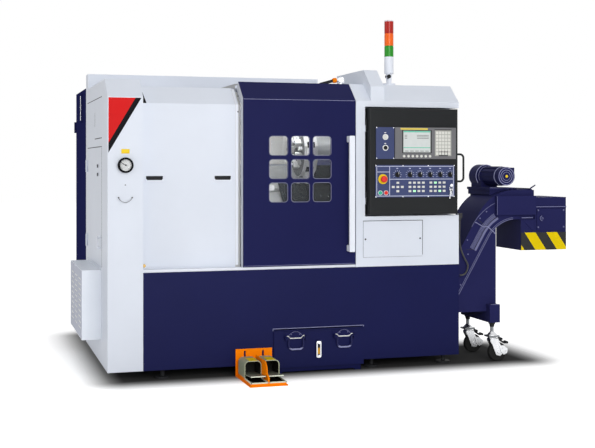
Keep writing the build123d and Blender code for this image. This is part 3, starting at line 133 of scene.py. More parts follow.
def height_in(tree, vector):
    return add_node(tree, "ShaderNodeSeparateXYZ", {"Vector": vector}).outputs["Z"]


def vector_step(tree, operation, first, second=None):
    inputs = {0: first} if second is None else {0: first, 1: second}
    node = add_node(tree, "ShaderNodeVectorMath", inputs, operation)
    return node.outputs["Value" if operation == "LENGTH" else "Vector"]


def beyond_box(tree, low, high):
    # Distance of a place from a box, zero inside it
    from_middle = vector_step(tree, "SUBTRACT", object_coordinates(tree), (low + high) / 2)
    beyond = vector_step(tree, "SUBTRACT", vector_step(tree, "ABSOLUTE", from_middle), (high - low) / 2)
    return vector_step(tree, "LENGTH", vector_step(tree, "MAXIMUM", beyond, (0, 0, 0)))


def nearest_box(tree, spaces):
    # Distance from the nearer of two boxes, or from one, then half a metre at most
    distances = {n: beyond_box(tree, low, high) for n, (low, high) in enumerate(spaces)}
    return add_node(tree, "ShaderNodeMath", distances, "MINIMUM").outputs["Value"]


def shade(colour, share):
    return tuple(min(1.0, channel * share) for channel in colour)


def drifting(tree, factor, colour, drift):
    return ramp(tree, factor, [(0.3, shade(colour, 1 - drift)), (0.7, shade(colour, 1 + drift))])


def coated(name, colour, roughness, drift=0.06, grain=700, depth=0.00004, mirror=0.1):
    # Enamel or moulded plastic: slow drift of tone, orange-peel grain and uneven gloss
    material, tree, shader = new_material(name)
    place = object_coordinates(tree)
    gloss = {"To Min": roughness - 0.05, "To Max": roughness + 0.07}
    feed(shader, {
        "Base Color": drifting(tree, noise(tree, place, 2.4), colour, drift),
        "Roughness": mapped(tree, noise(tree, place, 9.0), gloss),
        "Normal": bump(tree, noise(tree, place, grain, detail=2.0), 0.25, depth),
        "Specular IOR Level": mirror,
    })
    return material


def masked(name, colour, inside, roughness, mirror, spaces):
    # Enamel, with another colour inside one or two boxes: a pale end, seams, or painted shade
    material = coated(name, colour, roughness, drift=0.04, mirror=mirror)
    tree, shader = opened(material)
    mix = tree.nodes.new("ShaderNodeMix")
    mix.data_type = "RGBA"
    feed(mix, {
        "Factor": mapped(tree, nearest_box(tree, spaces), {"From Max": 0.0006}),
        "A": (*inside, 1),
        "B": shader.inputs["Base Color"].links[0].from_socket,
    })
    feed(shader, {"Base Color": mix.outputs["Result"]})
    return material


def banded(name, bands, low, high, roughness):
    # Enamel in level bands between two heights
    material = coated(name, bands[0][1], roughness)
    tree, shader = opened(material)
    share = mapped(tree, height_in(tree, object_coordinates(tree)), {"From Min": low, "From Max": high})
    stops = [((level - low) / (high - low), colour) for level, colour in bands]
    feed(shader, {"Base Color": ramp(tree, share, stops, stepped=True)})
    return material


def machined(name, colour, roughness, direction, drift=0.12):
    # Ground or turned metal: fine streaks along the cut
    material, tree, shader = new_material(name)
    stretch = add_node(tree, "ShaderNodeMapping", {"Vector": object_coordinates(tree), "Scale": direction})
    streak = noise(tree, stretch.outputs["Vector"], 90.0, detail=6.0)
    feed(shader, {
        "Base Color": drifting(tree, streak, colour, drift),
        "Roughness": mapped(tree, streak, {"To Min": roughness - 0.08, "To Max": roughness + 0.1}),
        "Normal": bump(tree, streak, 0.2, 0.00005),
        "Metallic": 1.0,
    })
    return material


def glowing(name, colour, strength):
    material, tree, shader = new_material(name)
    grain = noise(tree, object_coordinates(tree), 30.0)
    feed(shader, {
        "Base Color": ramp(tree, grain, [(0.3, shade(colour, 0.92)), (0.7, colour)]),
        "Emission Color": (*colour, 1),
        "Emission Strength": strength,
        "Roughness": 0.3,
    })
    return material


def ribbed(name, colour, scale):
    # Corrugated sheath: rings along its length
    material = coated(name, colour, 0.4, drift=0.15, mirror=0.5)
    tree, shader = opened(material)
    feed(shader, {"Normal": bump(tree, wave(tree, scale), 0.9, 0.002)})
    return material


def ringed(name, inner, outer, middle, radius):
    # Steel in two tones: one near an axis along the machine, the other beyond a radius
    material = coated(name, inner, 0.3, drift=0.1, mirror=0.5)
    tree, shader = opened(material)
    from_middle = vector_step(tree, "SUBTRACT", object_coordinates(tree), middle)
    reach = vector_step(tree, "LENGTH", vector_step(tree, "MULTIPLY", from_middle, (0, 1, 1)))
    share = mapped(tree, reach, {"From Max": 2 * radius})
    feed(shader, {"Base Color": ramp(tree, share, [(0.0, inner), (0.5, outer)], stepped=True)})
    return material


def lens(name, colour):
    # Ribbed coloured plastic of a signal lamp
    material, tree, shader = new_material(name)
    ribs = wave(tree, 60.0)
    feed(shader, {
        "Base Color": ramp(tree, ribs, [(0.0, shade(colour, 0.8)), (1.0, shade(colour, 1.1))]),
        "Normal": bump(tree, ribs, 0.3, 0.0006),
        "Roughness": 0.18,
        "Emission Color": (*colour, 1),
        "Emission Strength": 0.1,
        "Specular IOR Level": 0.28,
    })
    return material


def clear(name, colour, alpha):
    material, tree, shader = new_material(name)
    smear = noise(tree, object_coordinates(tree), 14.0)
    feed(shader, {
        "Roughness": mapped(tree, smear, {"To Min": 0.04, "To Max": 0.12}),
        "Base Color": (*colour, 1),
        "Alpha": alpha,
        "Specular IOR Level": 0.15,
    })
    return material


NAVY = coated("navy enamel", (0.005, 0.0068, 0.058), 0.42)
# The door's left end is pale like the frame beside it
DOOR_END = (at(0.79, 0.004, 0.6), at(0.8066, 0.4, 1.9))
DOOR_NAVY = masked("door enamel", (0.0125, 0.014, 0.0705), (0.56, 0.58, 0.63), 0.42, 0.03, [DOOR_END])
CONVEYOR_NAVY = coated("conveyor enamel", (0.0185, 0.0195, 0.083), 0.48, mirror=0.03)
BACK_SEAMS = [
    (at(0.7365, 1.9, 0.2), at(0.7385, 1.93, 1.78)),
    (at(0.04, 1.9, 1.64), at(1.436, 1.93, 1.642)),
]
CABINET_NAVY = masked("cabinet enamel", (0.0195, 0.0215, 0.098), (0.001, 0.001, 0.004), 0.55, 0.0, BACK_SEAMS)
GUIDE = coated("pale navy enamel and painted highlight", (0.17, 0.175, 0.32), 0.4)
# Painted highlight: the bails are pale lavender low on their loops and navy above
BAIL_HIGHLIGHT_BANDS = [(0.1, (0.28, 0.29, 0.48)), (0.157, (0.02, 0.022, 0.085))]
BAIL = banded("bail enamel with painted highlight", BAIL_HIGHLIGHT_BANDS, 0.1, 0.3, 0.35)
# Pale lavender paints highlights along edges, folds and rims of the navy parts
PAINTED_HIGHLIGHT = coated("painted edge highlight", (0.3, 0.31, 0.5), 0.42)
WHITE = coated("white enamel", (0.715, 0.755, 0.835), 0.42, drift=0.025)
# Painted light: the vent cover's white is brighter than the other sheet, and its left face is painted in
# shade
VENT_SHADED_FACE = (at(-0.116, 0.325, 0.209), at(-0.114, 1.067, 0.624))
VENT_LIT_WHITE = masked("vent enamel, painted light and shaded face", (0.86, 0.9, 0.97), (0.47, 0.5, 0.6), 0.42, 0.05, [VENT_SHADED_FACE])
WHITE_TRIM = coated("white trim", (0.8, 0.83, 0.9), 0.38, drift=0.02)
# Mid grey: the inner sheet's colour, and painted shade on the roof's upstand
INNER_AND_SHADED_GREY = coated("inner sheet and painted shade", (0.5, 0.505, 0.5), 0.45)
SPLASH = coated("splash sheet", (0.86, 0.85, 0.81), 0.45)
SEAM = coated("seam shadow", (0.035, 0.038, 0.045), 0.7)
FLASH_BLACK = coated("flash black", (0.008, 0.008, 0.01), 0.45, mirror=0.03)
BLACK = coated("black plastic", (0.022, 0.023, 0.025), 0.5, drift=0.15, grain=1500, depth=0.00008)
CONSOLE = coated("console enamel", (0.0165, 0.018, 0.0195), 0.42, drift=0.12, grain=1200, depth=0.00006)
GREY = coated("grey moulding", (0.17, 0.17, 0.18), 0.5)
DARK_GREY = coated("dark grey", (0.045, 0.045, 0.048), 0.55)
PANEL_BLUE = coated("panel blue", (0.055, 0.07, 0.165), 0.45)
PALE_LINE = coated("pale print", (0.55, 0.58, 0.75), 0.5)
KEY = coated("key white", (0.7, 0.7, 0.66), 0.5)
KEY_GROUND = coated("keypad ground", (0.4, 0.4, 0.37), 0.5)
BAR_YELLOW = coated("bar yellow", (0.7, 0.55, 0.12), 0.45)
RED = coated("red plastic", (0.72, 0.015, 0.012), 0.3, mirror=0.4)
RED_PRINT = coated("red print", (0.62, 0.004, 0.004), 0.45)
YELLOW = coated("yellow plastic", (0.85, 0.6, 0.02), 0.35)
STRIPE_YELLOW = coated("stripe yellow", (0.78, 0.58, 0.0), 0.42)
STRIPE_DARK = coated("stripe dark", (0.032, 0.032, 0.032), 0.5)
GREEN = coated("green plastic", (0.02, 0.45, 0.28), 0.35, mirror=0.3)
# Painted shade: the orange stand is near black inside the room under each hood
HOOD_SHADE_ROOMS = [
    (at(left, -0.3458, 0.0057), at(left + 0.0931, -0.0487, 0.1187)) for left in (0.7707, 0.8792)
]
ORANGE = masked("orange enamel", (1.0, 0.24, 0.0), (0.018, 0.018, 0.017), 0.4, 0.05, HOOD_SHADE_ROOMS)
RUBBER = coated("rubber", (0.018, 0.018, 0.018), 0.72, drift=0.2, grain=900, depth=0.0001)
SHEATH = ribbed("conduit sheath", (0.03, 0.03, 0.029), 34.0)
CAST = coated("casting paint", (0.5, 0.51, 0.5), 0.5)
SLIDE_BANDS = [(0.9, (0.022, 0.027, 0.032)), (1.262, (0.24, 0.26, 0.52)), (1.312, (0.55, 0.56, 0.55))]
SLIDE = banded("slide enamel", SLIDE_BANDS, 0.9, 1.8, 0.45)
SLATE = coated("way cover", (0.022, 0.027, 0.032), 0.5)
TURRET = (1.38, 0.6264, 1.3463)
HOLDER = ringed("turret steel", (0.075, 0.076, 0.078), (0.8, 0.8, 0.78), at(*TURRET), 0.158)
STEEL = machined("machined steel", (0.55, 0.56, 0.58), 0.32, (0.05, 1.0, 1.0))
DARK_STEEL = machined("dark steel", (0.2, 0.21, 0.22), 0.38, (0.05, 1.0, 1.0))
CHROME = machined("bright plating", (0.8, 0.81, 0.83), 0.14, (0.3, 1.0, 1.0), drift=0.05)
BRASS = machined("brass", (0.4, 0.27, 0.09), 0.3, (1.0, 0.1, 1.0))
TREAD = machined("bare tread steel", (0.55, 0.57, 0.47), 0.4, (1.0, 0.1, 1.0))
ZINC = machined("zinc plating", (0.72, 0.73, 0.75), 0.24, (1.0, 1.0, 0.2))
HOOD = coated("bare cast hood", (0.36, 0.39, 0.27), 0.45, drift=0.2, mirror=0.4)
TRAY = coated("tray rim", (0.66, 0.7, 0.55), 0.45, drift=0.12, mirror=0.3)
WINDOW_RIM = coated("window rim", (0.22, 0.225, 0.32), 0.4)
GLASS = clear("door glass", (0.45, 0.48, 0.5), 0.05)
DIAL = coated("dial white", (0.82, 0.83, 0.82), 0.4)
SIGHT = clear("sight amber", (0.8, 0.42, 0.05), 0.9)
SCREEN = glowing("screen grey", (0.52, 0.55, 0.54), 0.22)
SCREEN_GREEN = glowing("screen green", (0.08, 0.42, 0.3), 0.3)
SCREEN_INK = coated("screen ink", (0.12, 0.13, 0.13), 0.4)
LIT_GREEN = glowing("lit key", (0.35, 0.9, 0.45), 0.6)
LAMP = glowing("work lamp", (1.0, 1.0, 1.0), 70.0)
LENS_GREEN = lens("green lens", (0.015, 0.27, 0.012))
LENS_AMBER = lens("amber lens", (0.85, 0.125, 0.003))
LENS_RED = lens("red lens", (0.4, 0.01, 0.004))

NODE_MATERIALS = {
    NAVY: ["base_frame", "coolant_tank"],
    BAIL: ["tank_handle_left", "tank_handle_right"],
    CONVEYOR_NAVY: ["conveyor_body", "conveyor_head", "gearmotor"],
    CABINET_NAVY: ["electrical_cabinet", "cabinet_door"],
    DOOR_NAVY: ["front_door"],
    WHITE: ["left_column", "left_side_panel", "left_access_door", "headstock_cover", "right_front_panel",
            "roof_cover", "rear_panel"],
    VENT_LIT_WHITE: ["vent_cover"],
    WHITE_TRIM: ["door_track", "door_handle", "signal_base"],
    INNER_AND_SHADED_GREY: ["bulkhead"],
    # The levelling feet are painted black for the shade under the base
    BLACK: ["flush_pulls", "pressure_gauge", "power_off_button", "leveling_feet"]
           + [f"selector_knob_{n}" for n in range(1, 7)],
    CONSOLE: ["console_housing"],
    GREY: ["display_unit"],
    SCREEN: ["display_screen"],
    PANEL_BLUE: ["operator_panel"],
    KEY: ["panel_keys", "power_on_button"],
    RED: ["estop_button", "feed_hold_button"],
    GREEN: ["cycle_start_button"],
    LENS_GREEN: ["signal_green"],
    LENS_AMBER: ["signal_amber"],
    LENS_RED: ["signal_red"],
    CAST: ["slant_bed", "headstock"],
    SLIDE: ["cross_slide"],
    SLATE: ["carriage"],
    STEEL: ["spindle_chuck"],
    HOLDER: ["turret_disc"],
    DARK_STEEL: ["caster_mounts"],
    ZINC: ["caster_fork_front", "caster_fork_rear"],
    RUBBER: ["caster_wheel_front", "caster_wheel_rear"],
    ORANGE: ["pedal_stand"],
    TREAD: ["pedal_left", "pedal_right"],
    GLASS: ["door_glass"],
    SHEATH: ["supply_conduit"],
}
for material, names in NODE_MATERIALS.items():
    for name in names:
        nodes[name].data.materials.clear()
        nodes[name].data.materials.append(material)


def soften(thing, width):
    edge = thing.modifiers.new("soft edges", "BEVEL")
    edge.width = width
    edge.segments = 2
    edge.limit_method = "ANGLE"
    return edge


# Folded and welded sheet has soft edges that catch the light
SOFT_EDGES = {
    0.004: ["base_frame", "left_column", "left_side_panel", "vent_cover", "headstock_cover", "roof_cover",
            "right_front_panel", "rear_panel", "electrical_cabinet", "front_door", "conveyor_body",
            "conveyor_head"],
    0.002: ["left_access_door", "cabinet_door", "coolant_tank", "pedal_stand", "display_unit", "gearmotor",
            "door_handle", "slant_bed", "headstock", "carriage", "cross_slide", "turret_disc"],
}
for width, names in SOFT_EDGES.items():
    for name in names:
        soften(nodes[name], width).angle_limit = math.radians(35)


# Shapes: each of these returns a function that adds the shape to a mesh

def block(left, right, front, back, bottom, top):
    def add(mesh):
        low, high = at(left, front, bottom), at(right, back, top)
        verts = bmesh.ops.create_cube(mesh, size=1.0)["verts"]
        bmesh.ops.scale(mesh, vec=high - low, verts=verts)
        bmesh.ops.translate(mesh, vec=(low + high) / 2, verts=verts)

    return add


def rod(start, end, radius, end_radius=None, sides=24):
    def add(mesh):
        first, last = at(*start), at(*end)
        run = last - first
        turn = run.to_track_quat("Z", "Y").to_matrix().to_4x4()
        bmesh.ops.create_cone(
            mesh,
            cap_ends=True,
            segments=sides,
            radius1=radius,
            radius2=radius if end_radius is None else end_radius,
            depth=run.length,
            matrix=Matrix.Translation((first + last) / 2) @ turn,
        )

    return add


def stub(start, along, radius, end_radius=None, sides=24):
    # A rod given by its start and its run
    return rod(start, Vector(start) + Vector(along), radius, end_radius, sides)


def post(x, y, low, high, radius, end_radius=None, sides=24):
    return rod((x, y, low), (x, y, high), radius, end_radius, sides)


def chain(places, radius, sides):
    # Rods through a row of places
    return [rod(start, end, radius, sides=sides) for start, end in zip(places, places[1:])]


def loft(rows, closed=False):
    # A skin over rows of places, closed round each row: flat ends, or the last row meets the first
    def add(mesh):
        loops = [[mesh.verts.new(at(*place)) for place in row] for row in rows]
        for here, there in zip(loops, loops[1:] + (loops[:1] if closed else [])):
            for n in range(len(here)):
                after = (n + 1) % len(here)
                mesh.faces.new((here[n], here[after], there[after], there[n]))
        if not closed:
            mesh.faces.new(loops[0])
            mesh.faces.new(loops[-1][::-1])

    return add


def prism(outline, along):
    return loft([outline, [Vector(place) + Vector(along) for place in outline]])


def plate(outline, face, proud):
    # An outline as the operator sees it, standing proud of an upright plane
    return prism([(x, face, z) for x, z in outline], (0, -proud, 0))


def ring(middle, axis, inner, outer, depth, sides=32, start=0, sweep=360):
    # A flat ring or arc of rectangular section, round an axis through its middle
    axis = Vector(axis)
    turn = axis.to_track_quat("Z", "Y").to_matrix()
    whole = sweep == 360
    rows = []
    for n in range(sides if whole else sides + 1):
        angle = math.radians(start + sweep * n / sides)
        out = turn @ Vector((math.cos(angle), math.sin(angle), 0))
        section = ((inner, 0), (outer, 0), (outer, depth), (inner, depth))
        rows.append([Vector(middle) + out * reach + axis * rise for reach, rise in section])
    return loft(rows, closed=whole)


def arc(x, z, radius, first, last, steps=6):
    # Places along an arc, by angles in degrees
    angles = [math.radians(first + (last - first) * n / steps) for n in range(steps + 1)]
    return [(x + radius * math.cos(angle), z + radius * math.sin(angle)) for angle in angles]


def rim(left, right, low, high, radius, width, depth, face):
    # A rounded rectangular frame standing proud of an upright plane that faces the operator
    def rounded(bend):
        outline = []
        for x, z, first in ((right - radius, high - radius, 0), (left + radius, high - radius, 90),
                            (left + radius, low + radius, 180), (right - radius, low + radius, 270)):
            outline += arc(x, z, bend, first, first + 90)
        return outline

    outer, inner = rounded(radius), rounded(radius - width)
    section = ((outer, face), (outer, face - depth), (inner, face - depth), (inner, face))
    return loft([[(x, y, z) for x, z in outline] for outline, y in section], closed=True)


def ticks(middle, turns, near, far, half_width):
    # Printed strokes round a dial that faces the operator, by turns in degrees
    strokes = []
    for turn in turns:
        angle = math.radians(turn)
        out = Vector((math.cos(angle), 0, math.sin(angle)))
        across = Vector((-math.sin(angle), 0, math.cos(angle))) * half_width
        inner, outer = Vector(middle) + out * near, Vector(middle) + out * far
        stroke = [inner - across, outer - across, outer + across, inner + across]
        strokes.append(prism(stroke, (0, -PRINT, 0)))
    return strokes


def fields(face, proud, spans):
    # Thin blocks on an upright plane, each by its left, right, bottom and top
    return [(left, right, face - proud, face, bottom, top) for left, right, bottom, top in spans]


# Pieces

def piece(name, material, shapes, body="machine", soft=0.0, smooth=False):
    # One piece of several shapes, where six numbers are a block: left, right, front, back, bottom, top
    mesh = bmesh.new()
    for shape in shapes:
        add = shape if callable(shape) else block(*shape)
        add(mesh)
    bmesh.ops.recalc_face_normals(mesh, faces=mesh.faces)
    data = bpy.data.meshes.new(name)
    mesh.to_mesh(data)
    mesh.free()
    made = bpy.data.objects.new(name, data)
    scene.collection.objects.link(made)
    data.materials.append(material)
    if smooth:
        data.polygons.foreach_set("use_smooth", [True] * len(data.polygons))
        sharp = made.modifiers.new("sharp edges", "EDGE_SPLIT")
        sharp.split_angle = math.radians(40)
    if soft:
        soften(made, soft)
    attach(made, body)


def screws(name, material, places, facing, radius, height, body="machine"):
    # Domed screw heads that face along one direction
    half = Vector(facing) * height / 2
    heads = []
    for place in places:
        heads.append(stub(place, half, radius, sides=12))
        heads.append(stub(Vector(place) + half, half, radius, radius * 0.6, sides=12))
    piece(name, material, heads, body, smooth=True)


# Left column: plain colour flash, bare plate, gauge, screw and bail
FLASH_LEFT, FLASH_RIGHT, FLASH_TOP, FLASH_LOW, FLASH_SKIN = 0.005, 0.196, 1.655, 1.335, 0.0008
BAND_RUN = 0.034
BAND_START = (FLASH_RIGHT - BAND_RUN, FLASH_TOP)
BAND_TIP = (FLASH_LEFT, FLASH_LOW + BAND_RUN * (FLASH_TOP - FLASH_LOW) / (FLASH_RIGHT - FLASH_LEFT))
flash_red = [(FLASH_LEFT, FLASH_TOP), BAND_START, BAND_TIP]
flash_band = [BAND_START, (FLASH_RIGHT, FLASH_TOP), (FLASH_LEFT, FLASH_LOW), BAND_TIP]
piece("column_flash_red", RED_PRINT, [plate(flash_red, 0, FLASH_SKIN)])
piece("column_flash_band", FLASH_BLACK, [plate(flash_band, 0, FLASH_SKIN)])
plate_rivets = [stub((x, -0.0015, 1.343), (0, -0.001, 0), 0.002, 0.0014, sides=12) for x in (0.083, 0.123)]
piece("column_plate", YELLOW, [(0.079, 0.127, -0.0015, 0, 1.33, 1.356)] + plate_rivets, soft=0.0006)

COLUMN_MIDDLE, GAUGE_LEVEL, DIAL_FRONT = 0.102, 1.262, -0.019


def on_gauge(y):
    return Vector((COLUMN_MIDDLE, y, GAUGE_LEVEL))


piece("gauge_dial", DIAL, [
    rod(on_gauge(DIAL_FRONT + PRINT), on_gauge(DIAL_FRONT), 0.0385, sides=48),
    rod(on_gauge(DIAL_FRONT), on_gauge(DIAL_FRONT - 0.0012), 0.009, 0.008),
])
gauge_marks = [ring(on_gauge(DIAL_FRONT), FRONT, 0.03, 0.0315, PRINT, sides=40, start=-50, sweep=280)]
gauge_marks += ticks(on_gauge(DIAL_FRONT), range(-50, 231, 28), 0.025, 0.0315, 0.0006)
piece("gauge_marks", STRIPE_DARK, gauge_marks)
needle_foot, needle_reach = on_gauge(-0.0215), Vector((-0.028, 0, 0.01))
needle_tail = needle_foot - needle_reach * 0.35
needle_side = Vector((0.01, 0, 0.028)).normalized() * 0.0016
needle = [needle_tail - needle_side, needle_foot + needle_reach, needle_tail + needle_side]
piece("gauge_needle", STRIPE_DARK, [
    prism(needle, (0, -0.0006, 0)),
    stub(needle_foot, (0, -0.0014, 0), 0.0045, sides=16),
])
# A shallow dome under the bezel
piece("gauge_glass", GLASS, [
    rod(on_gauge(-0.0225), on_gauge(-0.0232), 0.0388, 0.03, sides=48),
    rod(on_gauge(-0.0232), on_gauge(-0.0236), 0.03, 0.016, sides=48),
], smooth=True)
piece("gauge_bezel", FLASH_BLACK, [
    ring(on_gauge(-0.0236), FRONT, 0.0335, 0.0444, 0.0016, sides=48),
    ring(on_gauge(-0.0036), FRONT, 0.044, 0.0452, 0.0205, sides=48),
], smooth=True)
screws("column_screw", DARK_STEEL, [(COLUMN_MIDDLE, 0, 1.147)], FRONT, 0.004, 0.002)
bail_middle = (COLUMN_MIDDLE, -0.006, 1.088)
column_bail = [ring(bail_middle, FRONT, 0.0405, 0.043, 0.004, sides=24, start=200, sweep=140)]
for x in (COLUMN_MIDDLE - 0.0395, COLUMN_MIDDLE + 0.0395):
    column_bail.append(stub((x, 0, 1.074), (0, -0.011, 0), 0.0042, sides=14))
piece("column_bail", GREY, column_bail)
# Painted shadow: a black wedge on the leaning end of the headstock cover, beside the column's top
shadow_foot = (0.0694, BREAK_LEVEL + 0.0006)
shadow_head = (shadow_foot[0] + 0.95 * LEAN_RUN, shadow_foot[1] + 0.95 * LEAN_RISE)
shadow_outline = [(0.206, *shadow_foot), (0.237, *shadow_foot), (0.217, *shadow_head), (0.206, *shadow_head)]
piece("column_gap_shadow", FLASH_BLACK, [prism(shadow_outline, (0, 0.0005, -0.0005))])

# Left side: seams, latch faces, the door's pull and the cabinet door's grip plate
side_seams = [
    (0.283, 1.096, 1.674, 1.678),
    (0.655, 0.659, 1.502, 1.594),
    (0.29, 0.66, 1.425, 1.43),
    (0.285, 0.2895, 0.646, 1.373),
    (0.285, 1.09, 1.373, 1.377),
]
piece("side_seams", SEAM, [(-0.0006, 0, *seam) for seam in side_seams])
ACCESS_DOOR_LOW, ACCESS_DOOR_HEIGHT, LATCH_SHARE, LATCH_PITCH = 0.645, 0.77, 0.727, 0.052
LATCH_FACE, LATCH_FRONT, LATCH_BACK = -0.0042, 0.46, 0.5
latch_level = ACCESS_DOOR_LOW + ACCESS_DOOR_HEIGHT * LATCH_SHARE
latch_faces = []
for level in (latch_level, latch_level + LATCH_PITCH):
    latch_faces += [
        (LATCH_FACE - 0.0012, LATCH_FACE, LATCH_FRONT, LATCH_BACK, level - 0.0105, level + 0.0105),
        stub((LATCH_FACE, (LATCH_FRONT + LATCH_BACK) / 2, level), (-0.0024, 0, 0), 0.0075, sides=20),
    ]
piece("latch_faces", FLASH_BLACK, latch_faces, "side_door")
side_pull = [(-0.016, 0, 0.348, 0.359, low, low + 0.012) for low in (0.752, 0.816)]
side_pull.append((-0.022, -0.016, 0.345, 0.362, 0.75, 0.83))
piece("side_pull", WHITE_TRIM, side_pull, "side_door", soft=0.002)
grip_plate = [(-0.0195, -0.0185, 1.399, 1.407, low, low + 0.02) for low in (1.58, 1.72)]
grip_plate.append((-0.0185, -0.016, 1.396, 1.41, 1.575, 1.745))
piece("cabinet_grip_plate", CHROME, grip_plate, "rear_cabinet_door", soft=0.0005)

# Headstock cover: lips of the pulls and the fitting at its foot
for side_name, middle in (("left", 0.284), ("right", 0.697)):
    lip = [(end - 0.003, end + 0.003, 0.064, 0.07, 1.1735, 1.18) for end in (middle - 0.049, middle + 0.049)]
    lip.append((middle - 0.052, middle + 0.052, 0.062, 0.07, 1.166, 1.1735))
    piece(f"pull_lip_{side_name}", WHITE_TRIM, lip, soft=0.001)
piece("cover_fitting", BRASS, [
    rod((0.222, 0.07, 0.668), (0.222, 0.066, 0.668), 0.01),
    rod((0.222, 0.066, 0.668), (0.222, 0.06, 0.668), 0.0075, sides=6),
    rod((0.222, 0.06, 0.668), (0.222, 0.055, 0.668), 0.004, sides=16),
])

# Sliding door: window frames and painted highlights along its folds; at its left the frame's strip and
# screws, and the roof's upstand
BULKHEAD_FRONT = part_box("bulkhead")[0][1] - corner.y
STRIP_LEFT, STRIP_WIDTH, STRIP_SKIN = 0.7765, 0.0165, 0.0012


def frame_front(level):
    return BULKHEAD_FRONT + max(0, level - BREAK_LEVEL) * LEAN_RUN / LEAN_RISE


strip_levels = (0.66, BREAK_LEVEL, 1.728)
strip_outline = [(STRIP_LEFT, frame_front(level) - STRIP_SKIN, level) for level in strip_levels]
strip_outline += [(STRIP_LEFT, frame_front(level), level) for level in reversed(strip_levels)]
piece("frame_strip", WHITE_TRIM, [prism(strip_outline, (STRIP_WIDTH, 0, 0))])
# The roof's upstand is painted mid grey for the shade it stands in
piece("roof_step", INNER_AND_SHADED_GREY, [
    (0.802, 0.806, 0.206, 1.076, 1.735, 1.764),
    (0.806, 0.832, 0.206, 1.076, 1.76, 1.764),
], soft=0.001)
WINDOW_LEFT, WINDOW_LOW = 0.968, 1.038
WINDOW_WIDTH, WINDOW_HEIGHT = 0.117, 0.118
WINDOW_STEP_X, WINDOW_STEP_Z = 0.1385, 0.1415
RIM_LAP = 0.001
window_frames = []
for column in range(3):
    for row in range(3):
        left = WINDOW_LEFT + column * WINDOW_STEP_X - RIM_LAP
        low = WINDOW_LOW + row * WINDOW_STEP_Z - RIM_LAP
        right, high = left + WINDOW_WIDTH + 2 * RIM_LAP, low + WINDOW_HEIGHT + 2 * RIM_LAP
        window_frames.append(rim(left, right, low, high, 0.021, 0.003, 0.001, 0))
piece("window_frames", WINDOW_RIM, window_frames, "door")
# Painted highlights: pale lines along the door's upper and lower folds
piece("door_fold_highlight", PAINTED_HIGHLIGHT, [
    (0.808, 1.519, -0.0005, 0.001, 1.6585, 1.6605),
    (0.812, 1.515, -0.0005, 0.001, 0.6555, 0.657),
], "door")
frame_screws = [(0.7905, BULKHEAD_FRONT, level) for level in (1.585, 1.68)]
screws("frame_screws", DARK_STEEL, frame_screws, FRONT, 0.005, 0.002)

# Console: bare bars, screen picture, keypad ground, print on the panels, key switch and screws
PANEL_FRONT, DISPLAY_FRONT = -0.051, -0.059
SCREEN_FRONT = DISPLAY_FRONT + 0.002
BAR_SKIN = 0.0008
display_bar = fields(DISPLAY_FRONT, BAR_SKIN, [(1.795, 1.978, 1.4815, 1.4935)])
display_bar += fields(DISPLAY_FRONT - BAR_SKIN, PRINT, [(1.797, 1.976, 1.4835, 1.4915)])
piece("display_bar", BAR_YELLOW, display_bar, "console")
screen_bands = [(1.816, 1.995, 1.4665, 1.4745), (1.816, 1.995, 1.369, 1.3735)]
piece("screen_bands", SCREEN_GREEN, fields(SCREEN_FRONT, PRINT, screen_bands), "console")
ROW_PITCH, FOOT_PITCH = 0.0095, 0.034
screen_rows = [
    (left, right, 1.4465 - ROW_PITCH * n, 1.4495 - ROW_PITCH * n)
    for left, right in ((1.906, 1.985), (1.824, 1.84)) for n in range(3)
]
screen_rows += [(1.826 + FOOT_PITCH * n, 1.85 + FOOT_PITCH * n, 1.348, 1.3515) for n in range(5)]
piece("screen_rows", SCREEN_INK, fields(SCREEN_FRONT, PRINT, screen_rows), "console")
screen_rim = fields(DISPLAY_FRONT, 0.0012, [
    (1.806, 2.005, 1.476, 1.481),
    (1.806, 2.005, 1.337, 1.342),
    (1.806, 1.814, 1.342, 1.476),
    (1.997, 2.005, 1.342, 1.476),
])
piece("screen_rim", DARK_GREY, screen_rim, "console", soft=0.0005)
keypad_ground = [(2.026, 2.138, 1.354, 1.48), (2.026, 2.052, 1.319, 1.354), (2.115, 2.138, 1.319, 1.354)]
piece("keypad_ground", KEY_GROUND, fields(DISPLAY_FRONT, BAR_SKIN, keypad_ground), "console")
keypad_well = fields(DISPLAY_FRONT, 0.0006, [(2.052, 2.115, 1.319, 1.354)])
keypad_well += fields(DISPLAY_FRONT, PRINT, [(2.024, 2.14, 1.48, 1.486)])
piece("keypad_well", DARK_GREY, keypad_well, "console")

PANEL_LEFT, PANEL_RIGHT, PANEL_LOW, PANEL_HIGH = 1.633, 2.164, 1.063, 1.263
LINE, LINE_INSET = 0.004, 0.006
left, right = PANEL_LEFT + LINE_INSET, PANEL_RIGHT - LINE_INSET
low, high = PANEL_LOW + LINE_INSET, PANEL_HIGH - LINE_INSET
panel_lines = [
    (left, right, high - LINE, high),
    (left, right, low, low + LINE),
    (left, left + LINE, low, high),
    (right - LINE, right, low, high),
    (1.724, 1.724 + LINE, low, high),
    (1.724 + LINE, right, 1.173, 1.173 + LINE),
    (left, 1.724, 1.218, 1.218 + LINE),
]
piece("panel_print", PALE_LINE, fields(PANEL_FRONT, PRINT, panel_lines), "console")
KNOBS = (1.777, 1.861, 1.929, 1.997, 2.065, 2.133)
KNOB_LEVEL, POINTER_LOW, POINTER_TOP = 1.203, 1.206, 1.2175
knob_scales = fields(PANEL_FRONT, PRINT, [(knob - 0.006, knob + 0.006, 1.24, 1.2445) for knob in KNOBS])
for number, knob in enumerate(KNOBS, start=1):
    knob_scales += ticks((knob, PANEL_FRONT, KNOB_LEVEL), range(-30, 211, 30), 0.0205, 0.029, 0.0011)
    pointer = (knob - 0.001, knob + 0.001, -0.076, -0.075, POINTER_LOW, POINTER_TOP)
    piece(f"knob_pointer_{number}", DIAL, [pointer], f"selector_{number}")
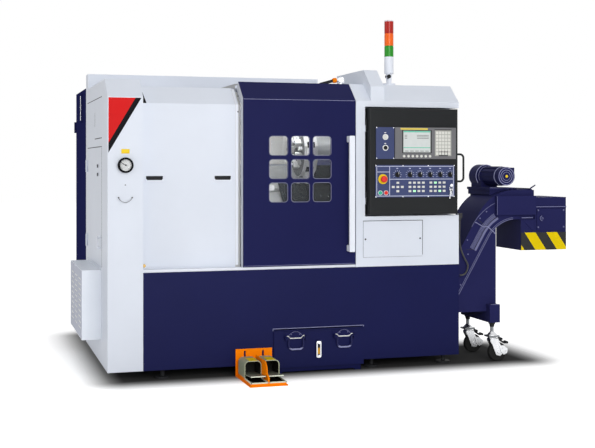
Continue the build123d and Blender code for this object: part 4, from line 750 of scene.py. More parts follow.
piece("knob_scales", PALE_LINE, knob_scales, "console")
estop_ring = ring((1.68, -0.055, 1.176), FRONT, 0.0125, 0.0308, 0.0012, sides=40)
piece("estop_ring", YELLOW, [estop_ring], "console")
KEY_FRONT = PANEL_FRONT - 0.005
LIT_PLACES = ((1.89, 1.101), (2.031, 1.153), (2.061, 1.101))
lit_keys = [(x - 0.0075, x + 0.0075, z - 0.0055, z + 0.0055) for x, z in LIT_PLACES]
piece("lit_keys", LIT_GREEN, fields(KEY_FRONT, 0.0006, lit_keys), "console")

# A key in the switch, and two more that hang from its ring
LOCK_X, LOCK_LEVEL = 2.142, 1.135
key_ring = Vector((LOCK_X - 0.011, PANEL_FRONT - 0.021, LOCK_LEVEL - 0.005))
key_half = Vector((0.0032, 0, 0))
key_bow = (LOCK_X - 0.0012, LOCK_X + 0.0012, LOCK_LEVEL - 0.006, LOCK_LEVEL + 0.006)
key_switch = fields(PANEL_FRONT - 0.006, 0.018, [key_bow]) + [
    stub((LOCK_X, PANEL_FRONT, LOCK_LEVEL), (0, -0.006, 0), 0.01),
    ring(key_ring - Vector((0, 0, 0.012)), FRONT, 0.01, 0.0125, 0.002, sides=24),
]
for lean, drop in ((-0.007, 0.078), (0.004, 0.064)):
    top = key_ring + Vector((lean * 0.4, -0.001, -0.022))
    tip = top + Vector((lean, 0, 0.022 - drop))
    key_switch += [
        ring(top, FRONT, 0.003, 0.0085, 0.0018, sides=20),
        prism([top - key_half, top + key_half, tip + key_half, tip - key_half], (0, -0.0018, 0)),
    ]
piece("key_switch", ZINC, key_switch, "console", soft=0.0005)
button_rings = [ring((x, PANEL_FRONT, 1.091), FRONT, 0.0124, 0.015, 0.0018) for x in (1.664, 1.702)]
for level in (1.4362, 1.3696):
    button_rings.append(ring((1.697, PANEL_FRONT, level), FRONT, 0.0134, 0.018, 0.006, sides=36))
    button_rings += fields(PANEL_FRONT, PRINT, [(1.691, 1.703, level + 0.0245, level + 0.029)])
piece("button_rings", DIAL, button_rings, "console", smooth=True)
panel_screws = [
    (x, PANEL_FRONT, z) for x in (PANEL_LEFT + 0.003, 1.815, 1.985, PANEL_RIGHT - 0.003)
    for z in (PANEL_LOW + 0.003, PANEL_HIGH - 0.003)
]
panel_screws += [(x, PANEL_FRONT, z) for x in (1.641, 1.753) for z in (1.305, 1.494)]
screws("panel_screws", CHROME, panel_screws, FRONT, 0.0032, 0.0015, "console")

# Service plate on the right front panel: screws, edge lines and shadow lines
SERVICE_FRONT, SERVICE_LINE = -0.003, 0.0005
service_screws = [(x, SERVICE_FRONT, 0.803) for x in (1.585, 1.95)]
screws("service_screws", SEAM, service_screws, FRONT, 0.0055, 0.0025)
service_outline = [(1.5695, 1.9655, 0.6905, 0.692), (1.5695, 1.571, 0.6905, 0.9155)]
piece("service_outline", GREY, fields(SERVICE_FRONT, SERVICE_LINE, service_outline))
service_shadow = [(1.5695, 1.9675, 0.9145, 0.918), (1.9645, 1.9675, 0.7, 0.9145)]
piece("service_shadow", SEAM, fields(SERVICE_FRONT, SERVICE_LINE, service_shadow))

# Console hinges and the conduit's elbow are dark over the white panel
HINGE_X, HINGE_Y = 1.589, -0.007
hinge_caps = []
for low, high in ((1.0198, 1.0597), (1.4693, 1.5091)):
    hinge_caps += [
        post(HINGE_X, HINGE_Y, low, high, 0.00585),
        (1.5832, HINGE_X, HINGE_Y - 0.0005, 0, low, high),
    ]
piece("hinge_caps", BLACK, hinge_caps)
CONDUIT_X, CONDUIT_Y, RIGHT_WALL = 2.23, 0.014, 2.217
piece("conduit_elbow", DARK_GREY, [
    (RIGHT_WALL + 0.0002, 2.2436, 0.0035, 0.0245, 0.9245, 0.9556),
    post(CONDUIT_X, CONDUIT_Y, 0.925, 0.911, 0.009, sides=6),
    post(CONDUIT_X, CONDUIT_Y, 0.9112, 0.905, 0.0075, 0.006, sides=20),
    rod((RIGHT_WALL + 0.0002, CONDUIT_Y, 0.56), (2.229, CONDUIT_Y, 0.56), 0.0105, sides=6),
], soft=0.001)

# Signal tower: bracket under the white body with its dark hinge, and a cap on the top lens
TOWER = (1.859, 0.3)
TOWER_TOP = 2.1985
piece("tower_bracket", WHITE_TRIM, [
    post(*TOWER, 1.796, 1.86, 0.0165, 0.02),
    post(*TOWER, 1.858, 1.8645, 0.0295, sides=32),
], smooth=True)
piece("tower_hinge", BLACK, [
    rod((1.853, 0.278, 1.84), (1.853, 0.322, 1.84), 0.0125),
    rod((1.853, 0.275, 1.84), (1.853, 0.278, 1.84), 0.006, sides=6),
    rod((1.843, 0.279, 1.822), (1.849, 0.279, 1.84), 0.004, sides=12),
], smooth=True)
piece("tower_cap", WHITE_TRIM, [
    post(*TOWER, TOWER_TOP, TOWER_TOP + 0.004, 0.0302, sides=40),
    post(*TOWER, TOWER_TOP + 0.004, TOWER_TOP + 0.0063, 0.0302, 0.027, sides=40),
], smooth=True)

# Pipe union on the roof beside the right housing
UNION_Y, ROOF_LEVEL, VALVE_X, VALVE_LEVEL = 0.3, 1.735, 1.527, 1.808
union_pipe = chain([(1.33, UNION_Y, 1.752), (1.392, UNION_Y, 1.781), (1.48, UNION_Y, 1.806)], 0.01, sides=20)
union_pipe.append(post(1.33, UNION_Y, ROOF_LEVEL, 1.752, 0.013, 0.01, sides=20))
piece("union_pipe", BLACK, union_pipe, smooth=True)
piece("union_collar", ORANGE, [
    rod((1.475, UNION_Y, 1.805), (1.497, UNION_Y, 1.808), 0.0165, sides=6),
    rod((1.47, UNION_Y, 1.804), (1.476, UNION_Y, 1.805), 0.0125, 0.015),
], soft=0.0008)
piece("union_valve", ZINC, [
    rod((1.496, UNION_Y, VALVE_LEVEL), (1.512, UNION_Y, VALVE_LEVEL), 0.012),
    rod((VALVE_X, UNION_Y - 0.014, VALVE_LEVEL), (VALVE_X, UNION_Y + 0.014, VALVE_LEVEL), 0.02, sides=28),
    ring((VALVE_X, UNION_Y - 0.014, VALVE_LEVEL), FRONT, 0.011, 0.017, 0.003, sides=28),
    post(VALVE_X, UNION_Y, ROOF_LEVEL, 1.792, 0.011),
], smooth=True)

# Coolant tank: level sight, bail bars and dishes, skirt, and a painted highlight on the lip over its bay
SIGHT_X, SIGHT_FRONT = 1.276, -0.0203
sight_frame = [rim(SIGHT_X - 0.015, SIGHT_X + 0.015, 0.09, 0.19, 0.009, 0.006, 0.003, SIGHT_FRONT)]
for level in (0.1, 0.18):
    sight_frame.append(stub((SIGHT_X, SIGHT_FRONT - 0.002, level), (0, -0.006, 0), 0.008, sides=6))
piece("sight_frame", CHROME, sight_frame, "tank")
# The glass tube with its two collars, and its empty end with the float
piece("sight_window", SIGHT, [
    post(SIGHT_X, SIGHT_FRONT, 0.112, 0.15, 0.0075),
    post(SIGHT_X, SIGHT_FRONT, 0.114, 0.116, 0.0082),
    post(SIGHT_X, SIGHT_FRONT, 0.147, 0.149, 0.0082),
], "tank", smooth=True)
piece("sight_level", STRIPE_DARK, [
    post(SIGHT_X, SIGHT_FRONT, 0.15, 0.168, 0.0074),
    post(SIGHT_X, SIGHT_FRONT, 0.15, 0.153, 0.008),
], "tank", smooth=True)
BAIL_LEFTS, BAIL_WIDTH, BAIL_LEVEL, BAR_HEIGHT = (1.074, 1.384), 0.112, 0.2105, 0.006
TANK_FRONT, BAIL_PLATE_FRONT = -0.0103, -0.0133
bar_half = [(0.0, 0.013), (0.01, 0.013), (0.022, 0.0)]
bar_lower = bar_half + [(BAIL_WIDTH - x, z) for x, z in reversed(bar_half)]
bar_outline = bar_lower + [(x, z + BAR_HEIGHT) for x, z in reversed(bar_lower)]
bail_bars, bail_dishes = [], []
for left in BAIL_LEFTS:
    # A bar with turned-up ends across each bail's seat, a pressed rim and two rivets over it
    middle = left + BAIL_WIDTH / 2
    bail_bars.append(plate([(left + x, BAIL_LEVEL + z) for x, z in bar_outline], BAIL_PLATE_FRONT, 0.004))
    dish = (middle, TANK_FRONT, 0.205)
    bail_dishes.append(ring(dish, FRONT, 0.0465, 0.049, 0.004, sides=24, start=32, sweep=116))
    for x in (middle - 0.026, middle + 0.026):
        bail_dishes.append(stub((x, BAIL_PLATE_FRONT, 0.237), (0, -0.0015, 0), 0.0035, 0.0025, sides=14))
piece("bail_bars", DIAL, bail_bars, "tank", soft=0.001)
piece("bail_dishes", GUIDE, bail_dishes, "tank")
# Painted highlight: a pale line along the lip over the tank's bay
bay_lip_highlight = [(0.994, 1.573, 0.2702, 0.2742), (0.99, 0.9935, 0.26, 0.2742), (1.5715, 1.575, 0.26, 0.2742)]
piece("bay_lip_highlight", PAINTED_HIGHLIGHT, fields(0, 0.002, bay_lip_highlight), soft=0.0004)
piece("tank_skirt", NAVY, [
    (1.046, 1.548, 0.004, 0.008, 0.009, 0.036),
    (1.046, 1.548, 0.008, 0.03, 0.009, 0.012),
], "tank", soft=0.001)

# Conveyor head: striped plate, hatch bolts and slot
HEAD_FRONT, STRIPE_FRONT, GUARD_FRONT, MOTOR_FOOT_FRONT = 0.03, 0.027, 0.008, 0.092
HEAD_LEFT, HEAD_RIGHT, STRIPE_LOW, STRIPE_HIGH = 2.673, 3.001, 0.709, 0.823
STRIPE_WIDTH, STRIPE_PITCH = 0.078, 0.157
piece("stripe_ground", STRIPE_DARK, [
    (HEAD_LEFT, HEAD_RIGHT, STRIPE_FRONT, HEAD_FRONT, STRIPE_LOW, STRIPE_HIGH),
])


def between_ends(outline):
    # The part of an outline between the striped plate's two ends
    clipped = []
    for (x, z), (next_x, next_z) in zip(outline, outline[1:] + outline[:1]):
        if HEAD_LEFT <= x <= HEAD_RIGHT:
            clipped.append((x, z))
        for end in (HEAD_LEFT, HEAD_RIGHT):
            if (x - end) * (next_x - end) < 0:
                clipped.append((end, z + (end - x) / (next_x - x) * (next_z - z)))
    return clipped


stripes = []
for n in range(3):
    # Each stripe leans by its own width
    left = HEAD_LEFT + 0.025 + (n - 1) * STRIPE_PITCH
    right = left + STRIPE_WIDTH
    stripe = [(left, STRIPE_HIGH), (right, STRIPE_HIGH)]
    stripe += [(right + STRIPE_WIDTH, STRIPE_LOW), (right, STRIPE_LOW)]
    stripes.append(plate(between_ends(stripe), STRIPE_FRONT, 0.0005))
piece("stripes", STRIPE_YELLOW, stripes)
hatch_bolts = [(x, HEAD_FRONT - 0.006, z) for x in (2.794, 2.98) for z in (0.857, 0.967)]
screws("hatch_bolts", GUIDE, hatch_bolts, FRONT, 0.0055, 0.006)
HATCH_SLOT = (2.822, HEAD_FRONT - 0.012, 0.915)
piece("hatch_slot", GUIDE, [
    ring(HATCH_SLOT, FRONT, 0.014, 0.018, 0.002, sides=24, start=100, sweep=170),
    ring(HATCH_SLOT, FRONT, 0.004, 0.007, 0.003, sides=20),
])

# Conveyor side: guide strips, ribs, seams and bolts follow its lower edge up the incline and round the bend,
# with a painted highlight along the bend's outer edge
INCLINE, INCLINE_RUN = math.radians(60), 0.5513
INCLINE_FOOT, BEND_MIDDLE = Vector((2.172, 0.32)), Vector((2.6425, 0.685))
BEND_RADIUS = 0.225
CONVEYOR_FRONT = 0.04


def on_conveyor(run, offset):
    if run < INCLINE_RUN:
        along = Vector((math.cos(INCLINE), math.sin(INCLINE)))
        return INCLINE_FOOT + along * run + along.orthogonal() * offset
    angle = INCLINE + math.pi / 2 - (run - INCLINE_RUN) / BEND_RADIUS
    return BEND_MIDDLE + Vector((math.cos(angle), math.sin(angle))) * (BEND_RADIUS + offset)


def strip(start, end, low, high, proud, steps=30):
    rows = []
    for n in range(steps + 1):
        run = start + (end - start) * n / steps
        inner, outer, front = on_conveyor(run, low), on_conveyor(run, high), CONVEYOR_FRONT - proud
        section = ((inner, CONVEYOR_FRONT), (inner, front), (outer, front), (outer, CONVEYOR_FRONT))
        rows.append([(x, y, z) for (x, z), y in section])
    return loft(rows)


RIBS_START, RIB_PITCH, RIB_WIDTH = 0.43, 0.0062, 0.0032
guide_strips_and_bend_highlight = [
    strip(0.1, 0.765, 0.001, 0.005, 0.002),
    strip(0.1, 0.765, 0.011, 0.014, 0.002),
    strip(RIBS_START, 0.672, 0.036, 0.05, 0.003),
    # A painted highlight along the outer edge round the bend
    strip(INCLINE_RUN, 0.69, 0.138, 0.141, 0.001),
]
for n in range(38):
    rib = RIBS_START + n * RIB_PITCH
    guide_strips_and_bend_highlight.append(strip(rib, rib + RIB_WIDTH, 0.056, 0.085, 0.003, steps=1))
piece("guide_strips_and_bend_highlight", GUIDE, guide_strips_and_bend_highlight)
piece("conveyor_seams", STRIPE_DARK, [
    strip(0.589, 0.5915, 0.016, 0.134, 0.0005, steps=1),
    strip(RIBS_START, 0.672, 0.052, 0.0545, 0.0005),
    (2.289, 2.367, CONVEYOR_FRONT - 0.0005, CONVEYOR_FRONT, 0.719, 0.7215),
])
# A bent wire stay over the ribs of the guide
stay_bends = [(2.355, 0.893), (2.408, 0.864), (2.435, 0.868), (2.487, 0.823)]
stay = [(x, CONVEYOR_FRONT - 0.006, z) for x, z in stay_bends]
stay_feet = [stub(end, (0, 0.006, 0), 0.004, sides=12) for end in (stay[0], stay[-1])]
piece("guide_stay", PAINTED_HIGHLIGHT, chain(stay, 0.0022, sides=10) + stay_feet, smooth=True)
bolt_rows = [(0.3, 0.124), (0.462, 0.124), (0.6, 0.124), (0.64, 0.124), (0.385, 0.075), (0.19, 0.022)]
strip_bolts = [(x, CONVEYOR_FRONT, z) for x, z in (on_conveyor(*bolt) for bolt in bolt_rows)]
screws("strip_bolts", GUIDE, strip_bolts, FRONT, 0.0045, 0.003)
piece("neck_fittings", CONVEYOR_NAVY, [
    (2.62, 2.775, 0.07, 0.34, 1.1, 1.106),
    (2.64, 2.655, 0.06, 0.35, 1.106, 1.111),
    (2.745, 2.76, 0.06, 0.35, 1.106, 1.111),
    plate([(2.68, 0.905), (2.765, 0.905), (2.765, 0.83)], HEAD_FRONT, 0.004),
    (2.484, 2.64, 0.1, 0.425, 1.068, 1.1),
    (2.5, 2.64, 0.094, 0.425, 1.05, 1.068),
    plate([(2.76, 1.106), (2.795, 1.128), (2.795, 1.134), (2.76, 1.114)], 0.06, -0.012),
], soft=0.001)
# Painted highlights: pale lines on the hatch's top edge, the motor foot's upper edge, the guard's left edge
# and the beam's top, with one more pale line on the head
piece("head_lines_and_highlights", GUIDE, [
    (2.774, 3.0, HEAD_FRONT - 0.0072, HEAD_FRONT - 0.006, 0.9875, 0.9925),
    (2.677, 2.757, HEAD_FRONT - 0.004, HEAD_FRONT, 0.917, 0.923),
    (2.48, 2.658, MOTOR_FOOT_FRONT - 0.001, MOTOR_FOOT_FRONT, 1.1125, 1.116),
    (2.4902, 2.493, GUARD_FRONT - 0.001, GUARD_FRONT, 0.942, 1.061),
    (2.44, 2.499, -0.0115, 0.01, 0.3665, 0.369),
], soft=0.0008)

# Gearmotor: fan and cooling rings in pale lavender for painted highlights, centre cap and the terminal box's
# lid
MOTOR_X, MOTOR_LEVEL, FAN_FRONT = 2.569, 1.19, 0.032
# How far each ring lies behind the fan's front, its inner and outer radius, depth and sides
MOTOR_RINGS = (
    (0, 0.026, 0.028, 0.0015, 40),
    (0, 0.039, 0.042, 0.0015, 40),
    (0, 0.053, 0.0565, 0.0015, 40),
    (0.058, 0.0602, 0.0625, 0.006, 40),
    (0.294, 0.0715, 0.0765, 0.0015, 48),
    (0.27, 0.0645, 0.0665, 0.0015, 48),
    (0.399, 0.0758, 0.0768, 0.004, 48),
)
piece("fan_rings_and_highlights", PAINTED_HIGHLIGHT, [
    ring((MOTOR_X, FAN_FRONT + behind, MOTOR_LEVEL), FRONT, inner, outer, depth, sides)
    for behind, inner, outer, depth, sides in MOTOR_RINGS
])
piece("fan_cap", YELLOW, [
    stub((MOTOR_X, FAN_FRONT - 0.004, MOTOR_LEVEL), (0, -0.0015, 0), 0.009, 0.008, sides=28),
    stub((MOTOR_X, FAN_FRONT - 0.0055, MOTOR_LEVEL), (0, -0.0015, 0), 0.005, 0.0035, sides=20),
], smooth=True)
LID_LEFT, LID_RIGHT = MOTOR_X + 0.086, MOTOR_X + 0.09
terminal_lid = [(LID_LEFT, LID_RIGHT, 0.094, 0.18, 1.168, 1.244)]
for y in (0.102, 0.172):
    for z in (1.176, 1.236):
        terminal_lid.append(stub((LID_RIGHT, y, z), (0.0025, 0, 0), 0.004, sides=6))
piece("terminal_lid", CONVEYOR_NAVY, terminal_lid, soft=0.0015)

# Casters: collars, bearing cups on the swivel plates, cheek plates, axle nuts, swivel rings and brakes
CASTER_X, AXLE_X, AXLE_Z = 2.462, 2.496, 0.061
CASTER_ENDS = (("front", 0.026), ("rear", 0.384))
CHEEK = [
    (2.438, 0.1455), (2.486, 0.1455), (2.522, 0.088), (2.53, 0.054),
    (2.508, 0.034), (2.48, 0.042), (2.462, 0.086),
]
BRAKE_SHOE = [(2.5, 0.104), (2.532, 0.102), (2.56, 0.08), (2.556, 0.052), (2.532, 0.042), (2.512, 0.06)]
BRAKE_ARM = [
    (2.484, 0.1465), (2.506, 0.1465), (2.548, 0.118), (2.566, 0.12),
    (2.566, 0.113), (2.546, 0.11), (2.5, 0.1395),
]
CUP_STEPS = ((0.168, 0.173, 0.036, 0.034), (0.173, 0.184, 0.03, 0.022), (0.184, 0.192, 0.018, 0.014))
collars, domes = [], []
for end_name, depth in CASTER_ENDS:
    collars += [
        post(CASTER_X, depth, 0.252, 0.24, 0.0215, sides=6),
        post(CASTER_X, depth, 0.24, 0.222, 0.017, 0.014),
    ]
    for low, high, wide, narrow in CUP_STEPS:
        domes.append(post(CASTER_X, depth, low, high, wide, narrow, sides=32))
    cheeks = [
        ring((CASTER_X, depth, 0.146), UP, 0.0125, 0.03, 0.004),
        ring((CASTER_X, depth, 0.15), UP, 0.0125, 0.026, 0.004),
    ]
    for out in (-1, 1):
        cheek_face, shoe_face = depth + out * 0.0252, depth + out * 0.0268
        cheeks += [
            plate(CHEEK, cheek_face, -out * 0.0016),
            stub((AXLE_X, cheek_face, AXLE_Z), (0, out * 0.007, 0), 0.0105, sides=6),
            plate(BRAKE_SHOE, shoe_face, -out * 0.003),
        ]
        for x, z in ((2.524, 0.086), (2.546, 0.066)):
            cheeks.append(stub((x, shoe_face + out * 0.003, z), (0, out * 0.003, 0), 0.0055, sides=6))
    piece(f"fork_cheeks_{end_name}", ZINC, cheeks, f"fork_{end_name}", soft=0.0006)
    brake = [plate(BRAKE_ARM, depth - 0.014, -0.028)]
    for x, z in ((2.561, 0.1185), (2.521, 0.1425)):
        brake.append(stub((x, depth - 0.02, z), (0, 0.04, 0), 0.0085, sides=18))
    piece(f"caster_brake_{end_name}", BLACK, brake, f"fork_{end_name}", soft=0.001)
piece("caster_collars", BLACK, collars, smooth=True)
piece("caster_domes", ZINC, domes, smooth=True)

# Foot pedal: guard fin, cast hood covers, yellow pads and pale tray rims
HOODS = ((0.767, 0.8675), (0.8755, 0.976))
HOOD_TOP, HOOD_FRONT, HOOD_BACK, HOOD_CORNER, HOOD_SKIN = 0.122, -0.195, -0.045, 0.026, 0.0012
FIN_LOW, FIN_HIGH, FIN_FRONT, FIN_BACK, FIN_BEND = 0.02, 0.132, -0.312, -0.06, 0.06
PAD_FRONT, PAD_BACK = HOOD_FRONT - 0.0018, HOOD_FRONT + 0.09
TRAY_FRONT, TRAY_BACK = -0.3508, -0.1965


def arch(left, right, top, radius):
    # An arch as the operator sees it, down to the hoods' foot
    low = 0.025
    left_bend = arc(left + radius, top - radius, radius, 180, 90)
    right_bend = arc(right - radius, top - radius, radius, 90, 0)
    return [(left, low)] + left_bend + right_bend + [(right, low)]


def bent_sheet(left, right, skin, front, back):
    # A sheet over a hood: the arch of its outer side and, one skin inward, that of its inner side
    left, right = left - HOOD_SKIN, right + HOOD_SKIN
    top, radius = HOOD_TOP + HOOD_SKIN, HOOD_CORNER + HOOD_SKIN
    outer = arch(left, right, top, radius)
    inner = arch(left + skin, right - skin, top - skin, radius - skin)
    return loft([
        [(out_x, front, out_z), (in_x, front, in_z), (in_x, back, in_z), (out_x, back, out_z)]
        for (out_x, out_z), (in_x, in_z) in zip(outer, inner)
    ])


fin = [(FIN_BACK, FIN_LOW), (FIN_BACK, FIN_HIGH)]
fin += arc(FIN_FRONT + FIN_BEND, FIN_HIGH - FIN_BEND, FIN_BEND, 90, 180) + [(FIN_FRONT, FIN_LOW)]
pedal_fin = prism([(0.8685, y, z) for y, z in fin], (0.006, 0, 0))
piece("pedal_fin", ORANGE, [pedal_fin], soft=0.0008)
hood_covers, hood_pads, tray_rims = [], [], []
for left, right in HOODS:
    hood_covers += [
        bent_sheet(left, right, HOOD_SKIN, HOOD_FRONT - 0.0012, HOOD_BACK),
        bent_sheet(left, right, 0.0055, HOOD_FRONT - 0.0016, HOOD_FRONT),
    ]
    hood_pads.append((left + 0.028, right - 0.024, PAD_FRONT, PAD_BACK, HOOD_TOP + 0.001, HOOD_TOP + 0.0022))
    tray_rims += [
        (left - 0.0008, left + 0.0045, TRAY_FRONT, TRAY_BACK, 0.0175, 0.0252),
        (right - 0.0045, right + 0.0008, TRAY_FRONT, TRAY_BACK, 0.0175, 0.0252),
        (left, right, TRAY_FRONT, TRAY_FRONT + 0.0053, 0.0175, 0.0252),
    ]
piece("hood_covers", HOOD, hood_covers, soft=0.0004)
piece("hood_pads", STRIPE_YELLOW, hood_pads, soft=0.0004)
piece("tray_rims", TRAY, tray_rims, soft=0.0006)

# Vent cover: pale slats behind the slots
SLAT_FRONT, SLAT_LOW, SLAT_PITCH, SLAT_COLUMN = 0.393, 0.264, 0.033, 0.229
vent_slats = []
for column in range(3):
    front = SLAT_FRONT + SLAT_COLUMN * column
    for row in range(10):
        low = SLAT_LOW + SLAT_PITCH * row
        vent_slats.append((-0.114, -0.1125, front, front + 0.148, low, low + 0.0085))
piece("vent_slats", DIAL, vent_slats)

# Hidden sides: louvres, screwed covers, cabinet fan, main switch and lifting eyes
REAR_WALL, CABINET_RIGHT = 1.2, 1.45
COVER_SKIN, COVER_STEP = 0.002, 0.02


def louvres(start, outward, along, rise):
    pitch = rise / 8
    slopes = []
    for n in range(8):
        low = Vector(start) + Vector((0, 0, n * pitch))
        slopes.append(prism([low, low + Vector(outward), low + Vector((0, 0, pitch * 0.6))], along))
    return slopes


def cover(start, along, rise, facing):
    # A thin screwed cover with a raised field
    start, along, up = Vector(start), Vector(along), Vector((0, 0, rise))
    outward = Vector(facing) * COVER_SKIN
    across, lift = along.normalized() * COVER_STEP, Vector((0, 0, COVER_STEP))
    low = start + across + lift + outward
    wide, high = along - 2 * across, up - 2 * lift
    return [
        prism([start, start + along, start + along + up, start + up], outward),
        prism([low, low + wide, low + wide + high, low + high], outward * 0.5),
    ]


piece("hidden_covers", WHITE, cover((RIGHT_WALL, 0.52, 0.8), (0, 0.56, 0), 0.7, RIGHT)
      + cover((1.56, REAR_WALL, 0.78), (0.54, 0, 0), 0.78, BACK), soft=0.0008)
piece("base_covers", NAVY, cover((RIGHT_WALL, 0.62, 0.14), (0, 0.46, 0), 0.4, RIGHT)
      + cover((1.58, REAR_WALL, 0.14), (0.5, 0, 0), 0.4, BACK), soft=0.0008)
rear_louvres = louvres((1.66, REAR_WALL + 0.003, 1.28), (0, 0.009, 0), (0.34, 0, 0), 0.2)
rear_louvres += louvres((RIGHT_WALL + 0.003, 0.64, 1.24), (0.009, 0, 0), (0, 0.32, 0), 0.2)
piece("rear_louvres", WHITE_TRIM, rear_louvres)
cabinet_louvres = []
for low in (0.36, 1.1):
    cabinet_louvres += louvres((CABINET_RIGHT, 1.38, low), (0.01, 0, 0), (0, 0.36, 0), 0.24)
piece("cabinet_louvres", CABINET_NAVY, cabinet_louvres)
FAN_MIDDLE = Vector((CABINET_RIGHT, 1.56, 1.58))
cabinet_fan = [ring(FAN_MIDDLE, RIGHT, 0.096, 0.112, 0.008, sides=48)]
for radius in (0.02, 0.04, 0.06, 0.08):
    cabinet_fan.append(ring(FAN_MIDDLE, RIGHT, radius, radius + 0.004, 0.006, sides=40))
for turn in (45, 135, 225, 315):
    spoke = Vector((0, math.cos(math.radians(turn)), math.sin(math.radians(turn))))
    hub = FAN_MIDDLE + Vector((0.004, 0, 0))
    cabinet_fan.append(rod(hub + spoke * 0.01, hub + spoke * 0.1, 0.003, sides=10))
piece("cabinet_fan", BLACK, cabinet_fan, smooth=True)
SWITCH_FACE = CABINET_RIGHT + 0.003
SWITCH = (SWITCH_FACE, 1.3, 1.335)
piece("switch_plate", YELLOW, [
    (CABINET_RIGHT, SWITCH_FACE, 1.265, 1.335, 1.3, 1.37),
    ring(SWITCH, RIGHT, 0.012, 0.03, 0.003, sides=36),
])
piece("switch_handle", RED, [
    stub(SWITCH, (0.014, 0, 0), 0.018, 0.016, sides=28),
    (SWITCH_FACE + 0.014, SWITCH_FACE + 0.03, 1.294, 1.306, 1.313, 1.357),
], soft=0.002)
lifting_eyes = []
for x in (0.32, 1.2):
    for y in (1.3, 1.85):
        lifting_eyes += [
            post(x, y, 1.8, 1.808, 0.02, 0.016),
            ring((x, y + 0.005, 1.826), FRONT, 0.011, 0.019, 0.01, sides=28),
        ]
piece("lifting_eyes", ZINC, lifting_eyes, smooth=True)
right_screws = [(RIGHT_WALL + COVER_SKIN, y, z) for y in (0.53, 0.8, 1.07) for z in (0.81, 1.15, 1.49)]
right_screws += [(RIGHT_WALL + COVER_SKIN, y, z) for y in (0.63, 1.07) for z in (0.15, 0.53)]
screws("cover_screws_right", ZINC, right_screws, RIGHT, 0.005, 0.003)
rear_screws = [(x, REAR_WALL + COVER_SKIN, z) for x in (1.57, 1.83, 2.09) for z in (0.79, 1.17, 1.55)]
rear_screws += [(x, REAR_WALL + COVER_SKIN, z) for x in (1.59, 2.07) for z in (0.15, 0.53)]
screws("cover_screws_rear", ZINC, rear_screws, BACK, 0.005, 0.003)

# Conduit on the right side, along the route of the solid one
CONDUIT_DIAMETER = 0.011
CONDUIT_ROUTE = [
    (2.230, 0.925), (2.230, 0.870), (2.227, 0.805), (2.232, 0.740), (2.262, 0.668),
    (2.288, 0.630), (2.285, 0.598), (2.272, 0.573), (2.252, 0.560), (2.229, 0.560),
]
route = bpy.data.curves.new("supply_conduit_run", "CURVE")
route.dimensions = "3D"
route.bevel_depth = CONDUIT_DIAMETER / 2
route.bevel_resolution = 6
route.use_fill_caps = True
line = route.splines.new("NURBS")
line.points.add(len(CONDUIT_ROUTE) - 1)
for point, (x, z) in zip(line.points, CONDUIT_ROUTE):
    point.co = (*at(x, CONDUIT_Y, z), 1)
line.order_u = 3
line.use_endpoint_u = True
line.resolution_u = 12
conduit = bpy.data.objects.new("supply_conduit_run", route)
scene.collection.objects.link(conduit)
route.materials.append(SHEATH)
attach(conduit, "machine")
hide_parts("supply_conduit")

# Turret tooling on the disc's face, towards the chuck
DISC_LEFT = 1.336
HOLDER_END = DISC_LEFT - 0.04
TURRET_AXIS = TURRET[1:]


def on_turret(turn, reach, x):
    # A place on the disc: turn in degrees round the turret's axis, reach from it
    angle = math.radians(turn)
    return Vector((x, TURRET[1] + reach * math.cos(angle), TURRET[2] + reach * math.sin(angle)))


def face_block(turn, near, far, half_width, start, end):
    angle = math.radians(turn)
    across = Vector((0, -math.sin(angle), math.cos(angle))) * half_width
    low, high = on_turret(turn, near, start), on_turret(turn, far, start)
    return prism([low - across, high - across, high + across, low + across], (end - start, 0, 0))


holder_blocks, holder_clamps = [], []
holder_bars = [
    rod((DISC_LEFT, *TURRET_AXIS), (DISC_LEFT - 0.01, *TURRET_AXIS), 0.05, 0.044, sides=40),
    ring((DISC_LEFT - 0.01, *TURRET_AXIS), LEFT, 0.014, 0.03, 0.006),
]
for turn in range(15, 375, 60):
    between = turn + 30
    holder_blocks += [
        face_block(turn, 0.064, 0.106, 0.02, DISC_LEFT, HOLDER_END),
        face_block(between, 0.072, 0.108, 0.011, DISC_LEFT, DISC_LEFT - 0.022),
    ]
    holder_bars.append(stub(on_turret(turn, 0.086, HOLDER_END), (-0.012, 0, 0), 0.012, 0.009, sides=20))
    for reach in (0.07, 0.102):
        holder_bars.append(stub(on_turret(turn, reach, HOLDER_END), (-0.004, 0, 0), 0.004, sides=6))
    # Dark clamping wedges on the flats between the holders, inside the holders' sweep
    holder_clamps.append(face_block(between, 0.159, 0.166, 0.026, DISC_LEFT + 0.02, DISC_LEFT + 0.07))
    for x in (DISC_LEFT + 0.03, DISC_LEFT + 0.06):
        holder_clamps.append(rod(on_turret(between, 0.166, x), on_turret(between, 0.172, x), 0.006, sides=12))
piece("holder_blocks", DIAL, holder_blocks, "turret", soft=0.0015)
piece("holder_bars", DARK_STEEL, holder_bars, "turret", smooth=True)
piece("holder_clamps", BLACK, holder_clamps, "turret", soft=0.0008)

# Telescoping cover beside the carriage, bolts on its plate, and the splash sheets behind
BED_FRONT, BED_FOOT, COVER_LOW, COVER_HIGH = 0.41, 0.7, 0.09, 0.6


def on_bed(x, along, lift):
    # A place over the slant bed: along its face from the foot, and square to it
    return x, BED_FRONT + (along - lift) * math.sqrt(0.5), BED_FOOT + (along + lift) * math.sqrt(0.5)


def over_bed(start, end, lift, thick):
    # A strip across the bed from one length to another
    outline = [on_bed(start, COVER_LOW, lift), on_bed(start, COVER_HIGH, lift),
               on_bed(start, COVER_HIGH, lift - thick), on_bed(start, COVER_LOW, lift - thick)]
    return prism(outline, (end - start, 0, 0))


